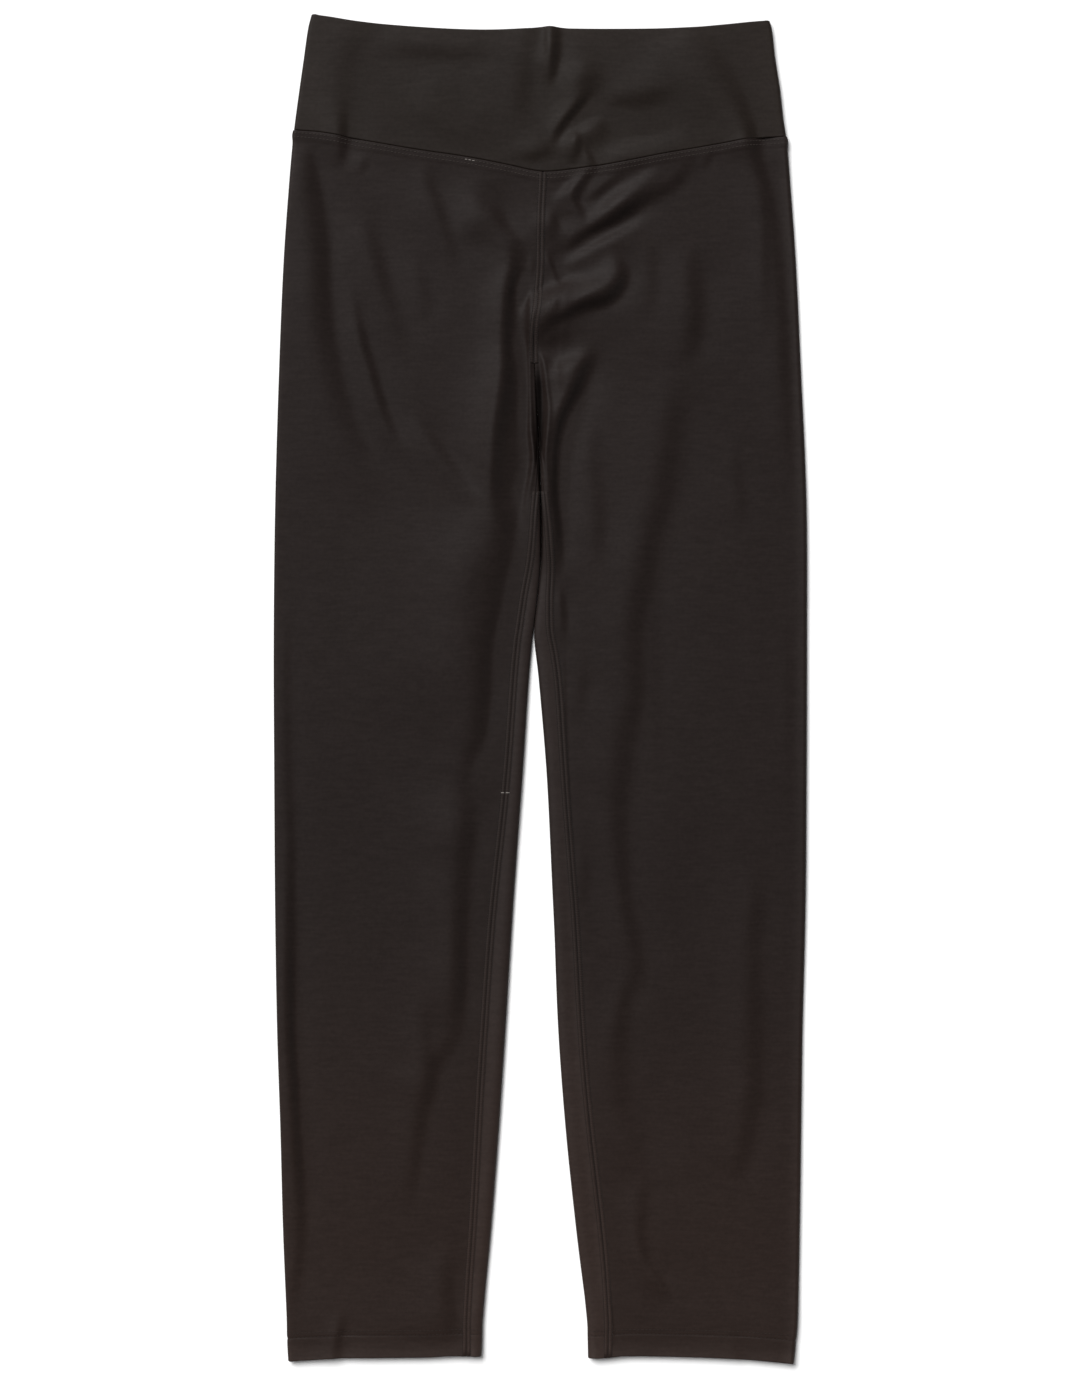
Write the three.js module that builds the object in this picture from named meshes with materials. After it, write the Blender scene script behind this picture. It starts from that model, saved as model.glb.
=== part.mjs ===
// High-rise leggings laid flat with the front side up, at real size in millimetres.
//
// The garment lies in the XY plane, waistband towards +Y, with its underside on z = 0 and its
// outline centred on the origin. Left and right are the wearer's, so the right leg is on the -X
// side. "Down" is the distance down the garment from the highest point of the waist edge.
//
// It is cut in four pieces. Each leg is one panel, wrapped from the centre front seam round the
// outer fold to the centre back seam, and closed below the crotch by an inseam that lies on the
// front. The waistband is a front and a back of doubled cloth, joined at the side folds.
import * as THREE from "three";

// Lengths down the garment
const LENGTH = 950;
const WAIST_SEAM = 84; // where the side folds meet the waist seam, on average
const WAIST_FADE = 116; // length over which the slant of the waist seam dies out below it
const CROTCH = 271;
const HEM = 945; // lower edge, apart from its own small curve
const HEM_DEPTH = 15.5;
const HEM_FADE = 60;

// Thicknesses and heights
const CLOTH = 1.0;
const FOLDED = 2 * CLOTH;
const SEAM_ALLOWANCE = 1.8; // cloth and turned-down seam edges together
const ALLOWANCE_DEPTH = 7;
const ALLOWANCE_FADE = 3; // length over which the wall thins below the allowance
const THICKNESS_STEP = 0.4; // half the length over which the wall doubles at the hem
const AIR = 0.4; // least space between the front and back layers
const LEG_LEVEL = 3.4; // height of the front face where the cloth is smooth
const WAIST_LEVEL = 5.2;
const SEAM_STEP = 0.2; // the legs lie this much lower than the waistband at the waist seam
const HEM_LEVEL = 4.9;
const WAIST_SLOPE = 22; // length over which the leg drops from the seam's level to its own
const SEAM_GAP = 0.3;
const LEG_GAP = 0.4;
const SEAM_BULGE = 0.8; // how far the waist seam's thick ends stand out at the side folds

// Rolled edges: half widths of the folds, and how far the cloth lifts beside them
const OUTER_ROLL = 2.7;
const INNER_ROLL = 2.8;
const SEAM_ROLL = 1.6; // the groove where panels meet above the crotch
const ROLL_LIFT = 1.0;
const ROLL_REACH = 5;
const CROTCH_FADE = 42; // length below the crotch over which the inner fold grows to full size
const CROTCH_CLOSE = 14; // length above the crotch over which the front seam sinks to the back
const LEAST_HOLLOW = 0.4; // least half width left inside a fold
const EDGE_PINCH = 0.5; // share of the thickness that a folded edge loses at its rim
const EDGE_ROUND = 0.9; // length over which it is lost

// The dip in which the centre seam sinks to the back layer at the crotch
const VALLEY_START = 222;
const VALLEY_END = 400;
const VALLEY_WIDTH = 8;

// Side folds, from the waist edge to the hems.
const SIDE_EDGE = [
  { down: 0, right: -161, left: 160 },
  { down: 10, right: -163.5, left: 163 },
  { down: 31, right: -166.5, left: 165.5 },
  { down: 52, right: -169.5, left: 168.8 },
  { down: 74, right: -172.5, left: 171.3 },
  { down: 89, right: -174.3, left: 173.6 },
  { down: 116, right: -176.6, left: 175.8 },
  { down: 172, right: -180.6, left: 179.8 },
  { down: 243, right: -183.7, left: 183.2 },
  { down: 342, right: -186.7, left: 187.4 },
  { down: 440, right: -187.8, left: 187.8 },
  { down: 540, right: -187.4, left: 187.5 },
  { down: 627, right: -186.8, left: 186.8 },
  { down: 715, right: -185.3, left: 184.7 },
  { down: 786, right: -183, left: 183.7 },
  { down: 856, right: -181.2, left: 182.7 },
  { down: 920, right: -178.6, left: 181.4 },
  { down: 932, right: -178.4, left: 180.4 },
  { down: 950, right: -177.4, left: 178.6 },
];

// Inner edges: the centre seam down to the crotch, then the legs' inner folds, which touch at first.
const INNER_EDGE = [
  { down: 84, right: 2, left: 2 },
  { down: 111, right: 1.9, left: 1.9 },
  { down: 144, right: 0.4, left: 0.4 },
  { down: 179, right: -0.2, left: -0.2 },
  { down: 204, right: -2.2, left: -2.2 },
  { down: 225, right: -4.4, left: -4.4 },
  { down: 243, right: -4.2, left: -4.2 },
  { down: 271, right: -2.7, left: -2.7 },
  { down: 299, right: -0.9, left: -0.9 },
  { down: 342, right: 0.5, left: 0.5 },
  { down: 384, right: 0.5, left: 0.5 },
  { down: 412, right: -2, left: -2 },
  { down: 432, right: -4.4, left: -4.4 },
  { down: 440, right: -5.6, left: -4.4 },
  { down: 468, right: -8, left: -1.2 },
  { down: 539, right: -12.6, left: 4.6 },
  { down: 627, right: -19, left: 8.8 },
  { down: 715, right: -24.4, left: 12.4 },
  { down: 786, right: -29.2, left: 17.8 },
  { down: 856, right: -34.6, left: 25.2 },
  { down: 920, right: -40.4, left: 32.8 },
  { down: 932, right: -40.7, left: 33.2 },
  { down: 950, right: -41.5, left: 33.6 },
];

// Inseams: how far round the inner fold each lies, measured along the cloth from the fold's side.
const INSEAM = [
  { down: 271, right: 0, left: 0 },
  { down: 306, right: 2.5, left: 2.5 },
  { down: 335, right: 4.2, left: 4.2 },
  { down: 353, right: 6.3, left: 6 },
  { down: 384, right: 8.4, left: 7.7 },
  { down: 412, right: 10.6, left: 9.2 },
  { down: 452, right: 11.3, left: 14 },
  { down: 545, right: 12.4, left: 13.7 },
  { down: 648, right: 15.5, left: 16.6 },
  { down: 753, right: 16, left: 18 },
  { down: 856, right: 14, left: 19 },
  { down: 926, right: 12.3, left: 16 },
  { down: 950, right: 12, left: 15.5 },
];

// Waist edge and waist seam, across the garment. The front seam dips to a soft point.
const WAIST_EDGE = [
  { x: -161, down: 0 },
  { x: -148, down: 1.8 },
  { x: -131, down: 4.6 },
  { x: -106, down: 7.4 },
  { x: -72, down: 9.9 },
  { x: -38, down: 10.9 },
  { x: -8, down: 9.9 },
  { x: 6, down: 8.8 },
  { x: 21, down: 10.1 },
  { x: 70, down: 10.2 },
  { x: 105, down: 9.2 },
  { x: 131, down: 7 },
  { x: 148, down: 5.3 },
  { x: 160, down: 4.4 },
];
const FRONT_SEAM = [
  { x: -174, down: 81.6 },
  { x: -155, down: 83.2 },
  { x: -127, down: 88.4 },
  { x: -90, down: 94.8 },
  { x: -52, down: 100.5 },
  { x: -21, down: 106.5 },
  { x: -7, down: 109.6 },
  { x: 3, down: 110.8 },
  { x: 16, down: 110 },
  { x: 54, down: 104.8 },
  { x: 91, down: 97.6 },
  { x: 129, down: 91 },
  { x: 150, down: 87.6 },
  { x: 173, down: 86.2 },
];
const BACK_SEAM = [
  { x: -174, down: 81.6 },
  { x: 2, down: 91 },
  { x: 173, down: 86.2 },
];

// Hem curves: how far each hem hangs below its nominal level.
const HEM_DROP = [
  { x: -178, drop: 3.4 },
  { x: -158, drop: 2 },
  { x: -141, drop: 1 },
  { x: -80, drop: 0.4 },
  { x: -63, drop: -0.5 },
  { x: -41, drop: -0.2 },
  { x: 34, drop: 1 },
  { x: 47, drop: 0.8 },
  { x: 58, drop: -0.4 },
  { x: 80, drop: -0.4 },
  { x: 126, drop: 0.9 },
  { x: 151, drop: 2.4 },
  { x: 179, drop: 5 },
];

// Broad swells of the front layer, where it holds air.
const SWELLS = [
  { x: -78, down: 215, across: 58, along: 95, rise: 3 },
  { x: 72, down: 205, across: 52, along: 90, rise: 3.2 },
  { x: -4, down: 185, across: 26, along: 52, rise: 3.4 },
  { x: -95, down: 420, across: 60, along: 150, rise: 1.6 },
  { x: 100, down: 420, across: 60, along: 150, rise: 1.6 },
  { x: -112, down: 720, across: 45, along: 170, rise: 1.1 },
  { x: 106, down: 720, across: 48, along: 170, rise: 1.1 },
  { x: -62, down: 56, across: 60, along: 26, rise: 1.3 },
  { x: 30, down: 72, across: 34, along: 26, rise: 1.6 },
  { x: 98, down: 58, across: 42, along: 26, rise: 1.1 },
];

// The largest folds of the front layer. Each runs through the points of its path, given as x and
// down; width is the half width of its rounded section, and a trough has a negative rise.
const FOLDS = [
  // Right leg, from the side fold inwards
  { path: [[-161, 107], [-149, 184], [-144, 274], [-125, 313], [-100, 333]], width: 8, rise: -1.8 },
  { path: [[-139, 184], [-122, 250], [-106, 302]], width: 7, rise: 1.5 },
  { path: [[-132, 198], [-116, 250], [-100, 300]], width: 6, rise: -1.9 },
  { path: [[-125, 139], [-111, 177], [-97, 218], [-85, 246]], width: 7, rise: -1.2 },
  { path: [[-41, 128], [-24, 153], [-15, 176], [-24, 201], [-24, 232]], width: 6.5, rise: -2 },
  { path: [[-24, 195], [-24, 229], [-28, 260], [-33, 295], [-29, 337]], width: 7, rise: -3 },
  { path: [[-10, 184], [-10, 236], [-9, 290], [-10, 320], [-13, 353]], width: 5, rise: 2 },
  { path: [[-29, 337], [-42, 412], [-51, 511], [-55, 600]], width: 14, rise: -1.7 },
  { path: [[-55, 590], [-54, 640], [-53, 705]], width: 9, rise: -1.2 },
  { path: [[-172, 620], [-173, 715], [-171, 787], [-166, 870]], width: 5, rise: -1.4 },
  // Left leg, from the centre outwards
  { path: [[101, 117], [60, 143], [21, 164]], width: 6, rise: -3.4 },
  { path: [[98, 128], [60, 153], [14, 176]], width: 6.5, rise: 2.4 },
  { path: [[42, 137], [70, 123], [98, 110]], width: 6, rise: 1.4 },
  { path: [[0, 194], [31, 194], [52, 185]], width: 7, rise: 2.6 },
  { path: [[6, 220], [22, 209], [42, 201], [57, 189], [54, 176]], width: 5.5, rise: -3 },
  { path: [[24, 238], [19, 260], [14, 280]], width: 6, rise: 2 },
  { path: [[33, 250], [19, 284], [13, 319], [13, 354], [18, 406]], width: 5.5, rise: -3 },
  { path: [[6, 246], [8, 271], [7, 299], [7, 330], [9, 353]], width: 4, rise: 1.8 },
  { path: [[110, 177], [112, 212], [105, 253], [91, 302], [70, 389], [61, 483]], width: 11, rise: -1.4 },
  { path: [[61, 470], [53, 545], [58, 596], [70, 648], [60, 720], [73, 805]], width: 9, rise: -1.1 },
  { path: [[153, 600], [149, 683], [153, 735], [142, 815]], width: 9, rise: -1 },
  // Waistband
  { path: [[5, 8], [5, 26], [6, 46]], width: 5, rise: 1 },
  { path: [[13, 14], [14, 29], [13, 44]], width: 5, rise: -1.1 },
  { path: [[36, 54], [22, 69], [11, 86]], width: 6, rise: -2 },
  { path: [[-137, 44], [-138, 67], [-139, 88]], width: 8, rise: -1 },
];

// Mesh density
const FRONT_COLUMNS = 16;
const FRONT_CROWDING = 1.35; // above 1 gathers columns towards the inner edge
const OUTER_COLUMNS = 4;
const BACK_COLUMNS = 3;
const TURN_SHARES = [0.09, 0.19, 0.29, 0.4, 0.58, 0.79, 1]; // of the turn from the back to the inseam
const WAIST_COLUMNS = 30;
const WAIST_BACK_COLUMNS = 12;
const WAIST_ROWS = 6;
const WAIST_ARC_COLUMNS = 3;
const ARC_SAMPLES = 10; // points on a fold before its columns are spaced
const FRONT_SAMPLES = 90;
const FOLD_STEPS = 8; // straight steps between two points of a fold's path
const EDGE_PASSES = 3;

// A leg's rows between its seam allowance and its hem: how far down each spacing reaches
const ROW_SPANS = [
  { to: CROTCH - 1, step: 9 },
  { to: CROTCH + 3, step: 4 },
  { to: 440, step: 15 },
  { to: HEM - HEM_DEPTH - THICKNESS_STEP, step: 37 },
];

const RIGHT = { name: "right", out: -1 };
const LEFT = { name: "left", out: 1 };

const lerp = (a, b, t) => a + (b - a) * t;
const clamp01 = (t) => Math.min(1, Math.max(0, t));
const ease = (t) => clamp01(t) ** 2 * (3 - 2 * clamp01(t));
const bell = (t) => Math.exp(-t * t);

// The value of a table's column at a place along its key, on a smooth curve through the rows.
function along(rows, key, column, at) {
  const last = rows.length - 1;
  if (at <= rows[0][key]) return rows[0][column];
  if (at >= rows[last][key]) return rows[last][column];
  let i = 0;
  while (rows[i + 1][key] < at) i++;
  const slope = (k) => {
    const a = rows[Math.max(0, k - 1)];
    const b = rows[Math.min(last, k + 1)];
    return (b[column] - a[column]) / (b[key] - a[key]);
  };
  const span = rows[i + 1][key] - rows[i][key];
  const t = (at - rows[i][key]) / span;
  const [from, to] = [rows[i][column], rows[i + 1][column]];
  const [start, end] = [slope(i) * span, slope(i + 1) * span];
  return (
    (2 * t ** 3 - 3 * t ** 2 + 1) * from +
    (t ** 3 - 2 * t ** 2 + t) * start +
    (3 * t ** 2 - 2 * t ** 3) * to +
    (t ** 3 - t ** 2) * end
  );
}

const sideEdge = (side, down) => along(SIDE_EDGE, "down", side.name, down);
const innerEdge = (side, down) => along(INNER_EDGE, "down", side.name, down);
const frontSeam = (x) => along(FRONT_SEAM, "x", "down", x);
const backSeam = (x) => along(BACK_SEAM, "x", "down", x);

// A fold's path as short straight steps, each with its share of the whole length.
function foldSteps(fold) {
  const points = fold.path.map(([x, down]) => new THREE.Vector3(x, down, 0));
  const curve = new THREE.CatmullRomCurve3(points);
  return curve.getSpacedPoints(FOLD_STEPS * (points.length - 1));
}
const TRACED_FOLDS = FOLDS.map((fold) => ({ ...fold, steps: foldSteps(fold) }));

// A fold's height at a point: rounded across, and dying out towards both ends.
function foldHeight(fold, x, down) {
  let nearest = Infinity;
  let share = 0;
  const count = fold.steps.length - 1;
  for (let i = 0; i < count; i++) {
    const a = fold.steps[i];
    const b = fold.steps[i + 1];
    const [ux, uy] = [b.x - a.x, b.y - a.y];
    const t = clamp01(((x - a.x) * ux + (down - a.y) * uy) / (ux * ux + uy * uy));
    const away = Math.hypot(x - a.x - t * ux, down - a.y - t * uy);
    if (away < nearest) {
      nearest = away;
      share = (i + t) / count;
    }
  }
  const taper = 1 - (2 * share - 1) ** 4;
  return fold.rise * bell(nearest / fold.width) * taper;
}

// How far the cloth lifts beside the rolled folds at its edges.
function rollLift(x, down) {
  const side = x < innerEdge(x < 0 ? RIGHT : LEFT, down) ? RIGHT : LEFT;
  const fromOuter = Math.abs(sideEdge(side, down) - x);
  const fromInner = Math.abs(innerEdge(side, down) - x);
  const grown = ease((down - CROTCH) / CROTCH_FADE);
  return ROLL_LIFT * (bell(fromOuter / ROLL_REACH) + grown * bell(fromInner / ROLL_REACH));
}

// How far the front face sinks at the crotch from the height it would have.
function valley(x, down, level) {
  const opening = ease((down - VALLEY_START) / (CROTCH - VALLEY_START));
  const closing = ease((VALLEY_END - down) / (VALLEY_END - CROTCH));
  const across = bell((x - innerEdge(LEFT, down)) / VALLEY_WIDTH);
  const lowest = 2 * CLOTH + AIR;
  return opening * closing * across * Math.max(0, level - lowest);
}

// Height of the front face, before the least height is kept.
function reliefHeight(x, down, level) {
  let height = level + rollLift(x, down);
  for (const swell of SWELLS) {
    const away = Math.hypot((x - swell.x) / swell.across, (down - swell.down) / swell.along);
    height += swell.rise * bell(away);
  }
  for (const fold of TRACED_FOLDS) height += foldHeight(fold, x, down);
  return height - valley(x, down, height);
}

// Keeps a height above the least one, with a soft bend between the two.
const SOFTNESS = 0.25;
const keepAbove = (height, least) =>
  least + SOFTNESS * Math.log1p(Math.exp(Math.min(60, (height - least) / SOFTNESS)));

function waistbandFront(x, down) {
  return keepAbove(reliefHeight(x, down, WAIST_LEVEL), 2 * FOLDED + AIR);
}

function legFront(x, down, nominal) {
  const nearSeam = Math.exp((WAIST_SEAM - nominal) / WAIST_SLOPE);
  const plain = lerp(LEG_LEVEL, WAIST_LEVEL - SEAM_STEP, nearSeam);
  const level = nominal > HEM - HEM_DEPTH ? HEM_LEVEL : plain;
  return keepAbove(reliefHeight(x, down, level), 2 * legWall(nominal) + AIR);
}

// Thickness of a leg's wall: thicker on the waist seam's allowance and on the turned hem.
function legWall(nominal) {
  if (nominal > HEM - HEM_DEPTH) return FOLDED;
  return lerp(SEAM_ALLOWANCE, CLOTH, ease((nominal - WAIST_SEAM - ALLOWANCE_DEPTH) / ALLOWANCE_FADE));
}

// Where a nominal level of a leg really lies down the garment: it follows the waist seam at the
// top and the hem's curve at the bottom.
function legDown(x, nominal, seam) {
  const waist = 1 - ease((nominal - WAIST_SEAM) / WAIST_FADE);
  const hem = ease((nominal - HEM + HEM_FADE) / HEM_FADE);
  return nominal + waist * (seam(x) - WAIST_SEAM) + hem * along(HEM_DROP, "x", "drop", x);
}

const yOf = (down) => LENGTH / 2 - down;
const pair = (x, outerZ, down, innerX, innerZ) => ({
  outer: new THREE.Vector3(x, yOf(down), outerZ),
  inner: new THREE.Vector3(innerX, yOf(down), innerZ),
});

// A quarter ellipse of cloth: from the rim of a fold, at height side, up or down to height flat.
// Half is the ellipse's half width, and inwards the direction from the rim into the garment.
function quarter({ rim, inwards, half, wall, side, flat, down, count }) {
  const rise = flat - side;
  const innerRise = Math.sign(rise) * Math.max(0, Math.abs(rise) - wall);
  const centre = rim + inwards * half;
  return Array.from({ length: count + 1 }, (_, i) => {
    const angle = (Math.PI / 2) * (i / count);
    const across = inwards * Math.cos(angle);
    const up = Math.sin(angle);
    const x = centre - half * across;
    const innerX = centre - (half - wall) * across;
    return pair(x, side + rise * up, down, innerX, side + innerRise * up);
  });
}

// The pairs at given lengths along a list of pairs, measured on the outer face.
function resample(pairs, lengths) {
  const travelled = [0];
  for (let i = 1; i < pairs.length; i++) {
    travelled.push(travelled[i - 1] + pairs[i].outer.distanceTo(pairs[i - 1].outer));
  }
  return lengths.map((length) => {
    let i = 1;
    while (i < pairs.length - 1 && travelled[i] < length) i++;
    const t = clamp01((length - travelled[i - 1]) / (travelled[i] - travelled[i - 1]));
    return {
      outer: pairs[i - 1].outer.clone().lerp(pairs[i].outer, t),
      inner: pairs[i - 1].inner.clone().lerp(pairs[i].inner, t),
    };
  });
}
const lengthOf = (pairs) =>
  pairs.slice(1).reduce((sum, p, i) => sum + p.outer.distanceTo(pairs[i].outer), 0);

// Where a row that is curved along a seam meets an edge, found by stepping towards it.
function meeting(edge, side, downAt) {
  let x = edge(side, downAt(edge(side, WAIST_SEAM)));
  for (let i = 0; i < EDGE_PASSES; i++) x = edge(side, downAt(x));
  return { x, down: downAt(x) };
}

// The outer fold, from the front layer's height down to the floor.
function outerFold(side, start, top, down, wall) {
  return Array.from({ length: OUTER_COLUMNS }, (_, i) => {
    const angle = Math.PI * ((i + 1) / OUTER_COLUMNS);
    const across = side.out * Math.sin(angle);
    const up = Math.cos(angle);
    const innerX = start + (OUTER_ROLL - wall) * across;
    const innerZ = top / 2 + (top / 2 - wall) * up;
    return pair(start + OUTER_ROLL * across, (top / 2) * (1 + up), down, innerX, innerZ);
  });
}

// One row of a leg panel: pairs of points from its front seam edge round to its back seam edge.
function legRow(side, nominal) {
  const out = side.out;
  const wall = legWall(nominal);
  const frontDown = (x) => legDown(x, nominal, frontSeam);
  const backDown = (x) => legDown(x, nominal, backSeam);
  const height = (x) => legFront(x, frontDown(x), nominal);

  const outer = meeting(sideEdge, side, frontDown);
  outer.x += out * SEAM_BULGE * bell((nominal - WAIST_SEAM) / ALLOWANCE_DEPTH);
  const frontEdge = meeting(innerEdge, side, frontDown);
  const backEdge = meeting(innerEdge, side, backDown);
  for (const edge of [frontEdge, backEdge]) edge.x += (out * LEG_GAP) / 2;

  // The inner fold's size, and the heights at which its front and back halves start
  const grown = ease((nominal - CROTCH) / CROTCH_FADE);
  const half = Math.max(wall + LEAST_HOLLOW, lerp(SEAM_ROLL, INNER_ROLL, grown));
  const frontStart = frontEdge.x + out * half;
  const innerTop = height(frontStart);
  const sunk = ease(1 - (CROTCH - nominal) / CROTCH_CLOSE);
  const backSide = lerp(wall, (innerTop - SEAM_GAP) / 2, grown);
  const openSide = lerp(innerTop - wall, wall + SEAM_GAP, sunk);
  const frontSide = nominal < CROTCH ? openSide : backSide + SEAM_GAP;
  const fold = { inwards: out, half, wall, count: ARC_SAMPLES };
  const frontRim = { rim: frontEdge.x, side: frontSide, down: frontEdge.down };
  const backRim = { rim: backEdge.x, side: backSide, down: backEdge.down };
  const over = quarter({ ...fold, ...frontRim, flat: innerTop });
  const under = quarter({ ...fold, ...backRim, flat: 0 }).reverse();

  const frontEnd = outer.x - out * OUTER_ROLL;
  const front = [...over];
  for (let i = 1; i <= FRONT_SAMPLES; i++) {
    const x = lerp(frontStart, frontEnd, i / FRONT_SAMPLES);
    front.push(pair(x, height(x), frontDown(x), x, height(x) - wall));
  }
  const back = [];
  for (let i = 1; i <= BACK_COLUMNS; i++) {
    const x = lerp(frontEnd, backEdge.x + out * half, i / BACK_COLUMNS);
    back.push(pair(x, 0, backDown(x), x, wall));
  }

  // Above the crotch both halves end at the fold; below it the seam lies past it, on the front
  const seamAt = nominal < CROTCH ? 0 : along(INSEAM, "down", side.name, nominal) + SEAM_GAP / 2;
  const turn = nominal < CROTCH ? under : [...under, ...front];
  const turnLength = lengthOf(under) + Math.max(0, seamAt - SEAM_GAP);
  const turnPairs = resample(turn, TURN_SHARES.map((share) => share * turnLength));
  const frontLengths = Array.from({ length: FRONT_COLUMNS + 1 }, (_, i) =>
    lerp(seamAt, lengthOf(front), (i / FRONT_COLUMNS) ** FRONT_CROWDING),
  );
  const outerPairs = outerFold(side, frontEnd, height(frontEnd), outer.down, wall);
  return [...resample(front, frontLengths), ...outerPairs, ...back, ...turnPairs];
}

// A closed wall over a grid of pairs: an outer face, an inner face and four rims.
function wallGeometry(grid) {
  const rows = grid.length;
  const columns = grid[0].length;
  const positions = grid.flat().flatMap(({ outer, inner }) => [...outer.toArray(), ...inner.toArray()]);
  const outer = (i, j) => 2 * (i * columns + j);
  const inner = (i, j) => outer(i, j) + 1;
  const index = [];
  const quad = (a, b, c, d) => index.push(a, b, c, a, c, d);
  for (let i = 0; i < rows - 1; i++) {
    for (let j = 0; j < columns - 1; j++) {
      quad(outer(i, j), outer(i + 1, j), outer(i + 1, j + 1), outer(i, j + 1));
      quad(inner(i, j), inner(i, j + 1), inner(i + 1, j + 1), inner(i + 1, j));
    }
    quad(outer(i, 0), inner(i, 0), inner(i + 1, 0), outer(i + 1, 0));
    const last = columns - 1;
    quad(outer(i, last), outer(i + 1, last), inner(i + 1, last), inner(i, last));
  }
  for (let j = 0; j < columns - 1; j++) {
    quad(outer(0, j), outer(0, j + 1), inner(0, j + 1), inner(0, j));
    quad(outer(rows - 1, j), inner(rows - 1, j), inner(rows - 1, j + 1), outer(rows - 1, j + 1));
  }
  const geometry = new THREE.BufferGeometry();
  geometry.setAttribute("position", new THREE.Float32BufferAttribute(positions, 3));
  geometry.setIndex(index);
  return geometry;
}

// Turns a grid's faces round, for a panel whose columns run the other way.
const mirrored = (grid) => grid.map((row) => [...row].reverse());

// Draws a row's two faces towards each other, as the cloth does at a folded edge.
const pinched = (row, share) =>
  row.map(({ outer, inner }) => ({
    outer: outer.clone().lerp(inner, share / 2),
    inner: inner.clone().lerp(outer, share / 2),
  }));

// Nominal levels of a leg's rows: close together over the folds, wide down the leg.
function legLevels() {
  const allowanceEnd = WAIST_SEAM + ALLOWANCE_DEPTH;
  const levels = [WAIST_SEAM + SEAM_GAP / 2, allowanceEnd, allowanceEnd + ALLOWANCE_FADE];
  for (const { to, step } of ROW_SPANS) {
    const from = levels[levels.length - 1];
    const count = Math.max(1, Math.round((to - from) / step));
    for (let i = 1; i <= count; i++) levels.push(lerp(from, to, i / count));
  }
  return [...levels, HEM - HEM_DEPTH + THICKNESS_STEP, HEM - EDGE_ROUND];
}

function legPanel(side) {
  const grid = legLevels().map((nominal) => legRow(side, nominal));
  grid.push(pinched(legRow(side, HEM), EDGE_PINCH));
  return wallGeometry(side === LEFT ? grid : mirrored(grid));
}

// One row of a waistband panel, from the right side fold to the left one.
function waistRow(share, isFront) {
  const seam = isFront ? frontSeam : backSeam;
  const columns = isFront ? WAIST_COLUMNS : WAIST_BACK_COLUMNS;
  const downAt = (x) => lerp(along(WAIST_EDGE, "x", "down", x), seam(x) - SEAM_GAP / 2, share);
  const [rightEnd, leftEnd] = [RIGHT, LEFT].map((side) => {
    const { x, down } = meeting(sideEdge, side, downAt);
    const start = x - side.out * OUTER_ROLL;
    const top = waistbandFront(start, down);
    const middle = (top + (isFront ? SEAM_GAP : -SEAM_GAP)) / 2;
    const fold = { rim: x, inwards: -side.out, half: OUTER_ROLL, wall: FOLDED, count: WAIST_ARC_COLUMNS };
    return { start, arc: quarter({ ...fold, side: middle, flat: isFront ? top : 0, down }) };
  });
  const flat = [];
  for (let i = 1; i < columns; i++) {
    const x = lerp(rightEnd.start, leftEnd.start, i / columns);
    const z = isFront ? waistbandFront(x, downAt(x)) : 0;
    flat.push(pair(x, z, downAt(x), x, isFront ? z - FOLDED : FOLDED));
  }
  return [...rightEnd.arc, ...flat, ...leftEnd.arc.reverse()];
}

function waistPanel(isFront) {
  const grid = [pinched(waistRow(0, isFront), EDGE_PINCH)];
  for (let i = 0; i <= WAIST_ROWS; i++) {
    grid.push(waistRow(lerp(EDGE_ROUND / WAIST_SEAM, 1, i / WAIST_ROWS), isFront));
  }
  return wallGeometry(isFront ? grid : mirrored(grid));
}

// Nylon and elastane knit, a warm near-black with a slight sheen
const knit = new THREE.MeshStandardMaterial({ color: 0x2c2624, roughness: 0.62, metalness: 0 });
const bandKnit = new THREE.MeshStandardMaterial({ color: 0x2f2a27, roughness: 0.6, metalness: 0 });

function piece(name, geometry, material) {
  const mesh = new THREE.Mesh(geometry, material);
  mesh.name = name;
  return mesh;
}

const leggings = new THREE.Group();
leggings.add(
  piece("waistband_front", waistPanel(true), bandKnit),
  piece("waistband_back", waistPanel(false), bandKnit),
  piece("leg_right", legPanel(RIGHT), knit),
  piece("leg_left", legPanel(LEFT), knit),
);

export default leggings;
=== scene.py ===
"""High-rise leggings laid flat, front side up: their cloth, folds, seams and stitching.

The garment lies on z = 0 with its waistband towards +Y, and left and right are the wearer's, so
the right leg is on the -X side. Shapes are worked out in millimetres, as x across the garment,
down from the highest point of the waist edge, and the height above the floor. A row of cloth
follows a level: its distance down the garment before the slant of the waist seam and the curve of
the hem are added to it.
"""

import math

import bmesh
import bpy
import numpy as np
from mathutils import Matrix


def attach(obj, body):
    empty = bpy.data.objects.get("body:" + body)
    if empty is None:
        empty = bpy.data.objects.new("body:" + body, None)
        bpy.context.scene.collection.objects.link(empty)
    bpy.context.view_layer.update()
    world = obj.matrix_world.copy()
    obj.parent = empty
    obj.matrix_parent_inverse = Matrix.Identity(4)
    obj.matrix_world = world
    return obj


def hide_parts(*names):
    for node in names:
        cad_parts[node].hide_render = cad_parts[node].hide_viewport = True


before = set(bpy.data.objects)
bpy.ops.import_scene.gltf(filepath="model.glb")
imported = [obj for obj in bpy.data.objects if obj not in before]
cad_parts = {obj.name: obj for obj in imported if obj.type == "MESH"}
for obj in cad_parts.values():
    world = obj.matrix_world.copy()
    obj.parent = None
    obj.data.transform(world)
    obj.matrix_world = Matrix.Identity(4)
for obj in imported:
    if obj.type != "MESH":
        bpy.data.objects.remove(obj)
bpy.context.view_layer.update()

MM = 0.001

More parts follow.
